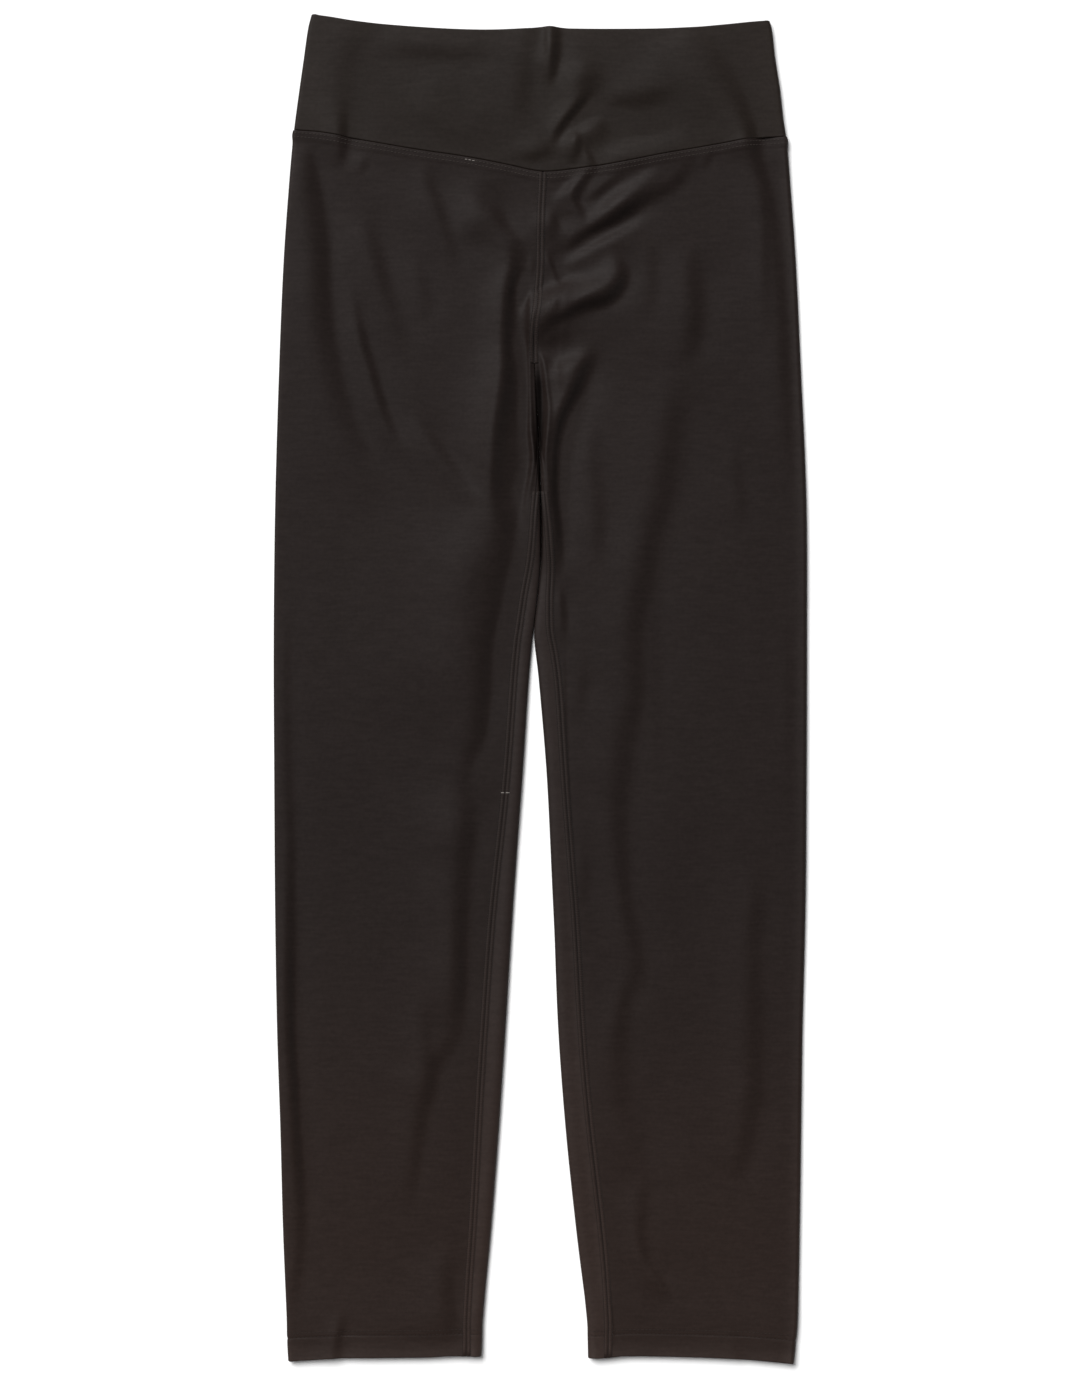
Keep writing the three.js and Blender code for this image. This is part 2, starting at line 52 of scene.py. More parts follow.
# Lengths down the garment
LENGTH = 950
WAIST_SEAM = 84  # where the side folds meet the waist seam, on average
WAIST_FADE = 116  # length over which the slant of the waist seam dies out below it
WAIST_DEPTH = 90  # the waistband's, on average
CROTCH = 271
MID_LEG = 560  # below it the legs are plain enough for wider rows
HEM = 945
HEM_DEPTH = 15.5
HEM_LINE = HEM - HEM_DEPTH
HEM_FADE = 60

# Thicknesses and heights
CLOTH = 0.9
FOLDED = 1.9
AIR = 0.3  # least space between the front and back layers
SOFT_BEND = 0.25  # how softly the front comes to rest on the back
BACK_LEVEL = 0.4  # height of the back's cloth, which its seams hold just clear of the floor
BACK_SEAM_LIFT = 0.5
BACK_SEAM_REACH = 5
BACK_SEAM_END = CROTCH + 6
BACK_SEAM_FADE = 20
LEG_LEVEL = 3.5
WAIST_LEVEL = 5.0
SEAM_LEVEL = 4.95
HEM_LEVEL = 4.7
WAIST_SLOPE = 22  # length over which the leg drops from the seam's level to its own
HEM_SLOPE = 45  # length over which it rises again to the hem's level

# The waist seam's groove, and the raised band of its allowance under the leg
GROOVE_DEPTH = 0.12
GROOVE_WIDTH = 0.5
ALLOWANCE_RISE = 0.2
ALLOWANCE_START = 1.1
ALLOWANCE_END = 5.4
ALLOWANCE_FADE = 3

# The hem: a groove along its stitching, and an edge that curls up
HEM_GROOVE = 0.15
HEM_GROOVE_WIDTH = 0.8
HEM_CURL = 1.2

# The side folds bulge below the waist seam and are drawn in at the hem's stitching
BULGE = 0.9
BULGE_LEVEL = WAIST_SEAM + 3
BULGE_WIDTH = 4
DRAWN_IN = 0.4
DRAWN_WIDTH = 1.2

# Rolled edges
OUTER_ROLL = 2.7
INNER_ROLL = 5.2
SEAM_ROLL = 1.3
INNER_LIFT = 0.8
OUTER_REACH = 5.5
INNER_REACH = 5.5
FOLDS_START = 298  # where the legs' inner folds begin to round out, and over what length
FOLDS_FADE = 44
INSEAM_START = 336  # where the inseams come out of the crease between the legs
CROTCH_CLOSE = 14
LEAST_HOLLOW = 0.4
SEAM_GAP = 0.1
PINCH = 0.92  # how far the two faces meet at a folded edge

# The dip in which the centre seam sinks to the back layer at the crotch
DIP_START = 218
DIP_OPENING = 31
DIP_END = 420

# Lighter colour: the strip between a leg's inner fold and its inseam, and the hem, and a painted
# sheen along the side folds and the waistband's edges
STRIP_PALER = 0.4
STRIP_FADE = 2.5
STRIP_START = 60  # length below the crotch over which the strip appears
EDGE_PAINTED_SHEEN = 0.16
EDGE_WIDTH = 6
HEM_PALER = 0.2
# Painted sheen on the waistband's folded edge and side folds
WAIST_PAINTED_SHEEN = 0.16
WAIST_EDGE_WIDTH = 12
WAIST_SIDE_WIDTH = 20

# Painted shade: deep in the dip between the legs, and on the rim of each inner fold
DIP_PAINTED_SHADE = 0.8
DIP_SHARE = 0.8  # of the dip's half width
DARK_START = 242
DARK_OPENING = 18
DARK_CLOSING = 60
RIM_PAINTED_SHADE = 0.4
RIM_WIDTH = 2.2
RIM_END = 930


def table(columns, *rows):
    """A table with named columns, each an array."""
    return {name: np.array(values, float) for name, values in zip(columns.split(), zip(*rows))}


# Side folds, from the waist edge to the hems
SIDE_EDGE = table(
    "down right left",
    (0, -161, 160), (10, -163.5, 163), (31, -166.5, 165.5), (52, -169.5, 168.8),
    (74, -172.5, 171.3), (89, -174.3, 173.6), (116, -176.6, 175.8), (172, -180.6, 179.8),
    (243, -183.7, 183.2), (342, -186.7, 187.4), (440, -187.8, 187.8), (540, -187.4, 187.5),
    (627, -186.8, 186.8), (715, -185.3, 184.7), (786, -183, 183.7), (856, -181.2, 182.7),
    (920, -178.6, 181.4), (932, -178.4, 180.4), (950, -177.4, 178.6),
)

# Inner edges: the centre seam down to the crotch, then the legs' inner folds
INNER_EDGE = table(
    "down right left",
    (84, 2, 2), (111, 1.9, 1.9), (144, 0.4, 0.4), (179, -0.2, -0.2), (204, -2.2, -2.2),
    (225, -4.4, -4.4), (243, -4.2, -4.2), (271, -2.7, -2.7), (299, -0.9, -0.9), (342, 0.5, 0.5),
    (384, 0.5, 0.5), (412, -2, -2), (432, -4.4, -4.4), (440, -5.6, -4.4), (468, -8, -1.2),
    (539, -12.6, 4.6), (627, -19, 8.8), (715, -24.4, 12.4), (786, -29.2, 17.8), (856, -34.6, 25.2),
    (920, -40.4, 32.8), (932, -40.7, 33.2), (950, -41.5, 33.6),
)

# The dip's middle and half width
DIP = table(
    "down x width",
    (218, -4, 1), (236, -3, 1.3), (246, -2.2, 1.8), (256, -1.6, 2.6), (264, -1.2, 3.3),
    (290, -0.9, 3.5), (306, -0.9, 2.9), (325, -0.8, 1.7), (342, 0.3, 1.3), (384, 0.5, 1.4),
    (420, -3, 2),
)

# Inseams: how far round the inner fold each lies, along the cloth from the fold's side
INSEAM = table(
    "down right left",
    (271, 0, 0), (306, 2.5, 2.5), (335, 4.2, 4.2), (353, 6.3, 6), (384, 8.4, 7.7), (412, 10.6, 9.2),
    (452, 11.3, 14), (545, 12.4, 13.7), (648, 15.5, 16.6), (753, 16, 18), (856, 14, 19),
    (926, 12.3, 16), (950, 12, 15.5),
)

# Waist edge and waist seam, across the garment, and how far the hem curves down
WAIST_EDGE = table(
    "x down",
    (-161, 0), (-148, 1.8), (-131, 4.6), (-106, 7.4), (-72, 9.9), (-38, 10.9), (-8, 9.9), (6, 8.8),
    (21, 10.1), (70, 10.2), (105, 9.2), (131, 7), (148, 5.3), (160, 4.4),
)
FRONT_SEAM = table(
    "x down",
    (-174, 81.6), (-155, 83.2), (-127, 88.4), (-90, 94.8), (-52, 100.5), (-21, 106.5), (-7, 109.6),
    (3, 110.8), (16, 110), (54, 104.8), (91, 97.6), (129, 91), (150, 87.6), (173, 86.2),
)
BACK_SEAM = table("x down", (-174, 81.6), (2, 91), (173, 86.2))
HEM_DROP = table(
    "x drop",
    (-178, 3.4), (-158, 2), (-141, 1), (-80, 0.4), (-63, -0.5), (-41, -0.2), (34, 1), (47, 0.8),
    (58, -0.4), (80, -0.4), (126, 0.9), (151, 2.4), (179, 5),
)

# Broad swells of the front layer, where it holds air
SWELLS = table(
    "x down across along rise",
    (-62, 205, 56, 90, 1.1), (72, 200, 54, 85, 1.2), (-4, 185, 26, 52, 1.2), (-4, 292, 24, 60, 1.3),
    (-80, 420, 60, 130, 0.7), (100, 420, 60, 150, 0.7), (-100, 720, 55, 170, 0.7),
    (106, 720, 52, 170, 0.5), (-62, 56, 60, 30, 0.5), (30, 66, 34, 34, 0.8), (100, 58, 46, 30, 0.6),
)

# Creases. Each is a step in the cloth, which runs down or leftwards through points of x, down,
# slope and half width, where a point may leave out a half width that stays the same. A step with
# a negative slope falls towards the side away from the light, at the right or below, and one
# with a positive slope climbs that way.
FRONT_STEPS = {
    "long fall below the right hip": [
        (-163, 90, 0, 4.5), (-160, 108, -0.41, 6.5), (-156, 130, -0.45, 8), (-152, 160, -0.45),
        (-151, 190, -0.5), (-149, 215, -0.45, 8.5), (-145, 240, -0.36, 9), (-138, 272, -0.29),
        (-129, 296, -0.23), (-118, 316, -0.14, 10.5), (-104, 330, 0),
    ],
    "narrow fall beside it": [
        (-132, 188, 0, 2.8), (-128, 212, -0.3, 3.5), (-124, 230, -0.59), (-119, 247, -0.55),
        (-113, 268, -0.59), (-107, 286, -0.42), (-100, 300, -0.21), (-91, 308, 0),
    ],
    "soft fall across the right hip": [
        (-125, 138, 0, 6), (-118, 158, -0.24, 6.5), (-112, 180, -0.32), (-106, 200, -0.24),
        (-100, 218, -0.17), (-94, 240, 0),
    ],
    "short fall below the waist seam": [
        (-81, 106, 0, 4), (-77, 120, -0.28, 5), (-70, 138, -0.32, 6), (-66, 152, -0.24, 5),
        (-61, 170, -0.12, 4.5), (-58, 184, 0, 4),
    ],
    "faint fall on the right front": [
        (-88, 165, 0, 4.5), (-84, 182, -0.14), (-80, 200, -0.14), (-77, 214, 0),
    ],
    "faint slant above the right thigh": [
        (-88, 280, 0, 5), (-76, 298, -0.32), (-62, 318, -0.36), (-50, 333, -0.21), (-42, 342, 0),
    ],
    "small nick beside it": [(-121, 100, 0, 2.2), (-124, 107, -0.28), (-127, 114, 0)],
    "patch right of the centre": [
        (-41, 120, 0, 8.5), (-40, 132, -0.32), (-35, 144, -0.27), (-30, 156, 0),
    ],
    "short fold right of the centre": [
        (-33, 128, 0, 5.5), (-29, 140, -0.36), (-25, 150, -0.4), (-17, 159, -0.29), (-12, 168, 0),
    ],
    "deep fall right of the centre seam": [
        (-21, 162, 0, 4.5), (-18, 176, -0.48, 5.5), (-20, 188, -0.82), (-22, 202, -0.95, 6),
        (-23.5, 222, -0.95), (-23.5, 245, -0.95), (-25.5, 265, -0.91), (-29, 290, -0.86),
        (-31, 315, -0.78), (-31, 338, -0.65, 7), (-28, 356, -0.27), (-25, 372, 0),
    ],
    "soft fall inside it": [
        (-12, 235, 0, 6.5), (-15, 258, -0.5, 7.5), (-17, 290, -0.57, 9), (-17, 320, -0.5),
        (-18, 345, 0),
    ],
    "wide fall down the right thigh": [
        (-20, 326, 0, 6.5), (-18, 348, -0.28, 7), (-22, 370, -0.37, 8), (-24, 386, -0.37),
        (-27, 402, -0.37), (-29, 416, -0.37, 7), (-33, 432, -0.4), (-36, 450, -0.43, 6.5),
        (-37, 470, -0.43, 6), (-39, 490, -0.4), (-42, 510, -0.3), (-49, 526, -0.22, 5),
        (-52, 542, -0.09), (-54, 556, 0),
    ],
    "soft start of that fall": [
        (-34, 360, 0, 16), (-41, 392, -0.2), (-46, 430, -0.2), (-46, 460, -0.2), (-46, 500, 0),
    ],
    "its foot, down the right calf": [
        (-52, 540, 0, 8), (-51, 558, -0.26), (-50, 578, -0.41, 7.5), (-53, 600, -0.34, 7),
        (-54, 622, -0.41), (-55, 648, -0.52, 6), (-55, 672, -0.56), (-56, 692, -0.49),
        (-57, 706, -0.3), (-60, 720, -0.19), (-68, 732, -0.19), (-75, 742, -0.38),
        (-77, 756, -0.38), (-81, 769, -0.3, 5.5), (-84, 784, -0.26), (-86, 800, -0.26, 4.5),
        (-88, 814, -0.22), (-90, 828, -0.11), (-92, 842, 0),
    ],
    "branch above its foot": [
        (-80, 690, 0, 5.5), (-81, 712, -0.16), (-79, 730, -0.2), (-77, 744, 0),
    ],
    "fall beside the right side fold": [
        (-176, 415, 0, 3.5), (-178, 450, -0.11), (-178, 500, -0.15), (-177, 540, -0.22, 4),
        (-175.5, 580, -0.3), (-175.5, 610, -0.41), (-175.5, 640, -0.56, 4.5), (-175.5, 680, -0.79),
        (-175, 720, -0.83), (-173, 750, -0.79), (-171.5, 780, -0.75), (-169.5, 810, -0.64),
        (-168, 840, -0.49), (-168.5, 865, -0.3), (-171, 890, -0.26), (-172, 912, 0),
    ],
    "fall above the right hem": [
        (-63, 868, 0, 5), (-64, 888, -0.24, 6.5), (-64, 905, -0.32), (-62, 920, -0.24),
        (-60, 934, 0, 5),
    ],
    "pleat in the right hem": [
        (-139, 914, 0, 2.8), (-140, 926, -0.48, 3), (-142, 938, -0.48, 3.5), (-143, 950, -0.4),
    ],
    "short fold under the waist point": [
        (40, 106, 0, 2.6), (34, 114, -0.36), (27, 123, -0.72, 2.9), (25, 131, -0.8),
        (29, 139, -0.48, 2.6), (31, 150, 0),
    ],
    "climb beside the short fold": [
        (32, 109, 0, 2.8), (24, 118, 0.44, 3.5), (15, 126, 0.44), (7, 131, 0),
    ],
    "deep slanting fall": [
        (106, 99, 0, 4), (103, 109, -0.16, 4.5), (95, 119, -0.27), (85, 125, -0.32),
        (74, 130, -0.36, 5), (64, 136, -0.77), (54, 143, -0.83), (44, 149, -0.8, 4.5),
        (34, 155, -0.71), (26, 161, -0.55, 4), (19, 168, 0, 3.5),
    ],
    "climb above it": [
        (86, 106, 0, 4.5), (72, 115, 0.35), (58, 125, 0.45), (46, 135, 0.4), (33, 147, 0),
    ],
    "climb under it": [
        (74, 143, 0, 4.5), (64, 148, 0.35), (50, 155, 0.6), (36, 162, 0.65), (22, 171, 0.5),
        (12, 179, 0),
    ],
    "thin fold by the waist point": [
        (60, 112, 0, 2.9), (50, 119, -0.36), (40, 127, -0.36), (33, 133, 0),
    ],
    "small hollow beside the centre seam": [(9, 138, 0, 4), (10, 146, -0.56), (13, 156, 0)],
    "small fold beside the centre seam": [
        (5, 166, 0, 2.4), (8, 174, -0.56, 2.6), (12, 184, -0.64), (14, 192, 0, 2.4),
    ],
    "climb to the hooked ridge": [
        (52, 176, 0, 6.5), (40, 184, 0.41, 8), (24, 190, 0.69), (10, 195, 0.86, 8.5),
        (-2, 200, 0.61), (-12, 206, 0.38, 8), (-20, 210, 0, 6.5),
    ],
    "hooked fall": [
        (49, 166, 0, 4), (55, 172, -0.27, 4.5), (58.5, 179, -0.48, 5), (58, 188, -0.72),
        (51, 198, -0.84), (42, 203, -0.81), (31, 206, -0.75), (21, 210, -0.72, 5.5),
        (12, 215, -0.66), (4, 221, -0.54), (-2, 228, -0.36, 5), (-5, 236, 0),
    ],
    "pocket under the hook": [
        (26, 221, 0, 6.5), (14, 227, -0.36), (5, 231, -0.4, 5.5), (-3, 236, 0),
    ],
    "climb out of the pocket": [
        (32, 239, 0, 5), (22, 243, 0.45, 5.5), (12, 249, 0.5), (6, 258, 0, 5),
    ],
    "small fall right of the left ridge": [
        (4, 238, 0, 2.2), (8, 247, -0.4, 2.4), (10, 258, -0.28, 2.6), (11, 272, 0, 2.8),
    ],
    "deep fall left of the crotch": [
        (39, 236, 0, 5), (34, 244, -0.44), (29.5, 254, -0.88), (25.5, 264, -1.07),
        (19.5, 276, -1.14), (14.5, 288, -1.23), (11.5, 302, -1.23), (10.5, 320, -1.23, 4.5),
        (10.5, 340, -1.23), (12.5, 360, -1.07, 4), (13, 376, -0.7), (13, 392, 0),
    ],
    "spot below it": [(14, 402, 0, 2.4), (16, 414, -0.48, 2.6), (17, 426, -0.4), (17, 442, 0)],
    "faint fall over the left hip": [
        (78, 156, 0, 5), (79, 174, -0.14), (79, 195, -0.14), (76, 216, 0),
    ],
    "fall on the left front": [
        (108, 164, 0, 6.5), (108, 180, -0.24, 7), (110, 197, -0.32), (110, 216, -0.28),
        (107, 232, -0.21), (105, 246, 0),
    ],
    "long fall down the left leg": [
        (102, 256, 0, 9.5), (96, 276, -0.15), (93, 298, -0.21, 10), (90, 322, -0.24),
        (86, 346, -0.24, 9.5), (80, 364, -0.28, 9), (77, 382, -0.32), (74, 400, -0.29, 9.5),
        (70, 418, -0.28), (68, 440, -0.28), (69, 460, -0.29, 9), (69, 480, -0.28, 8),
        (65, 496, -0.24, 9.5), (60, 514, -0.24, 10), (58, 534, -0.27, 9), (56, 556, -0.28, 7.5),
        (56, 576, -0.32, 7), (58, 598, -0.35, 6), (60, 620, -0.35), (64, 642, -0.35),
        (68, 660, -0.32), (69, 672, -0.21), (65, 683, -0.21, 5.5), (60, 692, -0.28, 5),
        (58, 706, -0.28, 5.5), (56, 724, -0.27, 7), (57, 748, -0.22, 8), (58, 770, -0.17, 9.5),
        (64, 790, -0.21, 8), (69, 803, -0.17, 7.5), (74, 816, 0, 7),
    ],
    "fall below the left hip": [
        (147, 88, -0.3, 5), (151, 98, -0.52), (155, 110, -0.45, 5.5), (160, 128, -0.38, 6),
        (164, 148, -0.3), (167, 170, -0.26), (169.5, 194, -0.26), (171.5, 220, -0.26),
        (173, 250, -0.26), (174.5, 280, -0.19), (176, 310, -0.09), (177, 340, 0),
    ],
    "faint line beside it": [
        (156, 118, 0, 3.5), (158, 150, -0.16), (159, 190, -0.16), (160, 230, 0),
    ],
    "small tucks at the left waist seam": [(121, 96, 0, 2.2), (118, 103, -0.24), (114, 110, 0)],
    "faint fall on the left thigh": [
        (39, 288, 0, 5), (38, 312, -0.14, 5.5), (41, 338, -0.2, 6), (42, 360, -0.22),
        (42, 376, -0.14), (44, 394, 0),
    ],
    "faint line on the outer left thigh": [
        (138, 298, 0, 4.5), (139, 322, -0.12), (143, 345, -0.12), (144, 362, 0),
    ],
    "dimple on the left thigh": [
        (30, 444, 0, 4.5), (31, 464, -0.12), (29, 482, -0.12), (28, 498, 0),
    ],
    "dimple beside the left inseam": [
        (30, 582, 0, 4.5), (32, 600, -0.16), (31, 618, -0.12), (30, 634, 0),
    ],
    "line beside the left side fold": [
        (177, 420, 0, 4), (176, 460, -0.07), (175.5, 510, -0.07), (176, 560, 0),
    ],
    "fall down the left calf": [
        (151, 598, 0, 6.5), (153, 622, -0.19), (151, 650, -0.22), (151, 684, -0.26),
        (151, 712, -0.29, 7), (151, 736, -0.32), (152, 756, -0.32), (149, 774, -0.3),
        (146, 790, -0.26, 6.5), (142, 806, -0.22, 6), (137, 821, 0, 5),
    ],
    "slant above the left hem": [
        (74, 816, 0, 5), (72, 840, -0.24, 4.5), (71, 860, -0.4, 4), (75, 876, -0.6, 3.5),
        (84, 888, -0.6), (93, 899, 0),
    ],
    "lap beside the left inseam": [
        (17, 440, 0, 1.2), (18, 500, -0.3), (20, 550, -0.35), (23, 600, -0.35), (26, 650, -0.4),
        (30, 720, -0.4), (33.5, 770, -0.4), (37.8, 815, -0.4), (42.4, 856, -0.4), (47.5, 895, -0.4),
        (51, 922, -0.3), (52.5, 940, 0),
    ],
    "tuck in the left hem": [(132, 924, 0, 3.5), (137, 934, -0.2), (142, 950, -0.2)],
}
WAIST_STEPS = {
    "hollow over the right seam": [
        (-121, 6, -0.05, 8.5), (-129, 20, -0.1, 10), (-135, 38, -0.11), (-138, 58, -0.14, 8.5),
        (-138, 74, -0.4, 5.5), (-138, 86, -0.64, 4.5), (-139, 98, -0.5, 3.5), (-140, 107, 0),
    ],
    "level fold on the right": [
        (-32, 30, 0, 6.5), (-50, 29, -0.14), (-75, 28, -0.17), (-98, 27, -0.14), (-116, 26, 0),
    ],
    "upright hollow right of the centre": [
        (-6, 8, -0.1, 6.5), (-8, 26, -0.14, 8), (-10, 44, -0.14, 8.5), (-12, 60, -0.15),
        (-11, 74, -0.1), (-8, 88, 0),
    ],
    "climb at the waist edge": [(4, 6, 0.5, 2.6), (4, 20, 0.56), (5, 36, 0)],
    "upright fold at the waist edge": [
        (11, 6, -0.4, 3.5), (11, 22, -0.72), (10, 33, -0.88), (9, 42, -0.56, 2.9), (6, 52, 0, 2.6),
    ],
    "climb right of the upright fold": [
        (26, 32, 0, 6), (26, 40, 0.17, 6.5), (22, 48, 0.09, 6), (18, 54, 0),
    ],
    "dark hollow at the front": [(44, 44, 0, 11), (36, 48, -0.32), (30, 54, -0.38), (25, 60, 0)],
    "slanting fold at the front": [
        (36, 54, 0, 3.5), (30, 62, -0.72), (24, 69, -0.96, 3), (18, 76, -1.04, 2.6),
        (13, 83, -0.8, 2.4), (8, 92, 0, 2.2),
    ],
    "climb under the slanting fold": [
        (46, 70, 0, 4.5), (38, 75, 0.43), (29, 80, 0.52), (21, 87, 0.35), (15, 94, 0),
    ],
    "climb to the puff": [
        (106, 87, 0, 8), (88, 89, 0.27), (68, 91, 0.35), (52, 94, 0.35), (42, 99, 0),
    ],
    "fall above the puff": [
        (98, 53, 0, 6.5), (84, 58, -0.2, 7), (68, 62, -0.22), (52, 64, -0.22, 6.5), (42, 65, 0),
    ],
    "small fold above the seam": [
        (24, 80, 0, 2.9), (27, 88, -0.72, 3), (26, 97, -0.64, 2.9), (24, 106, 0, 2.6),
    ],
    "its branch": [(30, 88, 0, 2.4), (33, 96, -0.56, 2.6), (37, 104, -0.4), (40, 112, 0)],
    "long slant on the left": [
        (104, 6, -0.08, 12.5), (114, 16, -0.19), (124, 30, -0.21), (133, 46, -0.23, 11.5),
        (141, 62, -0.32, 8), (147, 76, -0.46, 7), (151, 88, -0.55, 6), (154, 98, 0),
    ],
    "faint slant on the left": [(72, 14, 0, 9), (88, 25, -0.08), (106, 38, -0.08), (122, 52, 0)],
    "faint slant on the right": [
        (-44, 96, 0, 9), (-56, 90, -0.1), (-74, 80, -0.1), (-88, 70, -0.12), (-96, 58, 0),
    ],
    "hollow over the waist point": [
        (12, 92, 0, 5), (2, 99, -0.34), (-10, 101, -0.27), (-20, 98, 0),
    ],
}
# Skew makes a step start softly and end sharply, or the other way round below zero
SKEWS = {
    "long fall below the right hip": 0.45,
    "deep fall right of the centre seam": -0.3,
    "wide fall down the right thigh": 0.45,
    "its foot, down the right calf": 0.2,
    "fall above the right hem": 0.2,
    "hooked fall": 0.2,
}

# Narrow ridges of the front, through points of x, down, rise and half width
FRONT_RIDGES = {
    "right of the crotch": [
        (-6, 165, 0, 2.6), (-6.5, 185, 1), (-7, 205, 1.6, 2.5), (-7.3, 228, 2.2, 2.4),
        (-7.3, 250, 2.8, 2.3), (-6.9, 277, 3), (-6.6, 294, 3), (-4.8, 310, 2.6),
        (-6.2, 325, 2.2, 2.4), (-9.4, 342, 1.2, 2.8), (-11, 365, 0, 3),
    ],
    "left of the crotch": [
        (-1, 236, 0, 1.8), (2.6, 246, 1.6, 2), (4.4, 262, 2), (6, 277, 2), (5.1, 294, 2),
        (3.8, 310, 1.8), (4.4, 325, 1.2, 2.2), (5.4, 342, 0.5, 2.6), (6, 360, 0, 3),
    ],
}

# Creases of the back: shallow rounded folds that lift it off the floor, given the same way
BACK_FOLDS = {
    "slant from the left hip": [
        (-150, 130, 0, 7), (-118, 190, 0.8, 8), (-96, 250, 0.7), (-80, 300, 0, 7),
    ],
    "slant from the right hip": [
        (140, 122, 0, 7), (112, 170, 0.8, 8), (84, 214, 0.9, 7), (60, 262, 0),
    ],
    "short fold by the seat seam": [
        (-22, 150, 0, 5), (-28, 190, 0.8, 6), (-20, 236, 0.9, 5), (-12, 280, 0),
    ],
    "seat ridge": [(24, 180, 0, 6), (30, 230, 0.7, 7), (22, 290, 0, 6)],
    "long fold down the right leg": [
        (-70, 300, 0, 9), (-84, 420, 0.7, 10), (-92, 560, 0.7, 9), (-96, 640, 0),
    ],
    "long fold down the left leg": [
        (60, 330, 0, 9), (76, 450, 0.8, 10), (82, 600, 0.6, 9), (96, 700, 0),
    ],
    "fold at the right calf": [(-130, 690, 0, 7), (-122, 760, 0.7, 8), (-112, 850, 0, 7)],
    "fold at the left calf": [(120, 720, 0, 7), (112, 800, 0.7, 8), (118, 880, 0, 7)],
}

# The map of heights, and how creases are drawn on it
CELL = 0.7
MAP_HALF = 200
MAP_MARGIN = 12
LAST_CELL = 1.001  # keeps places just inside the map
CREASE_STEPS = 8
CREASE_SPACING = 0.7  # as a share of a crease's least half width
CREASE_BESIDE = 3  # how far before and behind a point it is drawn, in its half widths
RUN_OUT = 4  # how much wider a crease runs out than it falls
STEP_REACH = 2.2 * RUN_OUT
FOLD_REACH = 2.6
EVENING = 8  # sharpness of the limit on strokes that overlap in a bend
STEP_LIFT = 0.15  # how far cloth bulges beside a crease, as a share of its height

# Mesh density
ARC_SAMPLES = 14
FRONT_SAMPLES = 320
FRONT_COLUMNS = 110
OUTER_COLUMNS = 14
BACK_COLUMNS = 22
TURN_COLUMNS = 18
WAIST_COLUMNS = 196
WAIST_ARC_COLUMNS = 6
WAIST_ROWS = 64
SPACING_SAMPLES = 400
MEETING_STEPS = 4

# Relative spacing near the ends of a row and between them, and how far the close part reaches
FRONT_SPACING = (0.5, 2.2, 30)
TURN_SPACING = (0.5, 1, 6)
WAIST_SPACING = (0.4, 1.8, 6)
WAIST_FIRST_ROWS = (0, 0.12, 0.3, 0.6, 1.0)

# Rows of a leg: where each stretch of them ends, and about how far apart they lie in it
ROW_STRETCHES = (
    (WAIST_SEAM + 10, 0.55), (350, 1.7), (MID_LEG, 2.6), (HEM_LINE - 6, 4.2),
    (HEM_LINE - 1.6, 0.8), (HEM_LINE + 2.2, 0.4), (HEM - 1.2, 1.6), (HEM, 0.16),
)

# A rational form of the error function, good to five places
ERF_RATE = 0.47047
ERF_TERMS = (0.3480242, -0.0958798, 0.7478556)
HALF_ROOT_PI = 0.8862


class Side:
    """One side of the garment: its column in the tables, its direction outwards, and how far the
    cloth lifts beside its side fold."""

    def __init__(self, name, out, outer_lift):
        self.name = name
        self.out = out
        self.outer_lift = outer_lift

    def outer_edge(self, down):
        return along(SIDE_EDGE, "down", self.name, down)

    def inner_edge(self, down):
        return along(INNER_EDGE, "down", self.name, down)

    def inseam(self, level):
        return along(INSEAM, "down", self.name, level)


def along(rows, key, column, at):
    """A table's column at places along its key, on a smooth curve through the rows."""
    keys, values = rows[key], rows[column]
    slopes = np.empty(len(keys))
    slopes[1:-1] = (values[2:] - values[:-2]) / (keys[2:] - keys[:-2])
    slopes[0] = (values[1] - values[0]) / (keys[1] - keys[0])
    slopes[-1] = (values[-1] - values[-2]) / (keys[-1] - keys[-2])
    at = np.clip(at, keys[0], keys[-1])
    i = np.clip(np.searchsorted(keys, at, side="right") - 1, 0, len(keys) - 2)
    span = keys[i + 1] - keys[i]
    t = (at - keys[i]) / span
    return (
        (2 * t**3 - 3 * t**2 + 1) * values[i]
        + (t**3 - 2 * t**2 + t) * slopes[i] * span
        + (3 * t**2 - 2 * t**3) * values[i + 1]
        + (t**3 - t**2) * slopes[i + 1] * span
    )


def ease(t):
    t = np.clip(t, 0, 1)
    return t * t * (3 - 2 * t)


def bell(t):
    return np.exp(-t * t)


def erf(t):
    """The rounded step whose slope is a bell: half the square root of pi times the error function."""
    grown = np.abs(t)
    rational = 1 / (1 + ERF_RATE * grown)
    first, second, third = ERF_TERMS
    tail = rational * (first + rational * (second + rational * third))
    return HALF_ROOT_PI * np.sign(t) * (1 - tail * bell(grown))


def lerp(a, b, t):
    return a + (b - a) * t


def unit(vectors):
    return vectors / np.linalg.norm(vectors, axis=-1, keepdims=True)


def travelled(places):
    """The length along a line of places, at each of them."""
    steps = np.linalg.norm(np.diff(places, axis=0), axis=1)
    return np.concatenate([[0], np.cumsum(steps)])


def at_lengths(lengths, known, rows):
    """Rows of values at lengths between the known ones."""
    return np.stack([np.interp(lengths, known, column) for column in rows.T], axis=-1)


def front_seam(x):
    return along(FRONT_SEAM, "x", "down", x)


def back_seam(x):
    return along(BACK_SEAM, "x", "down", x)


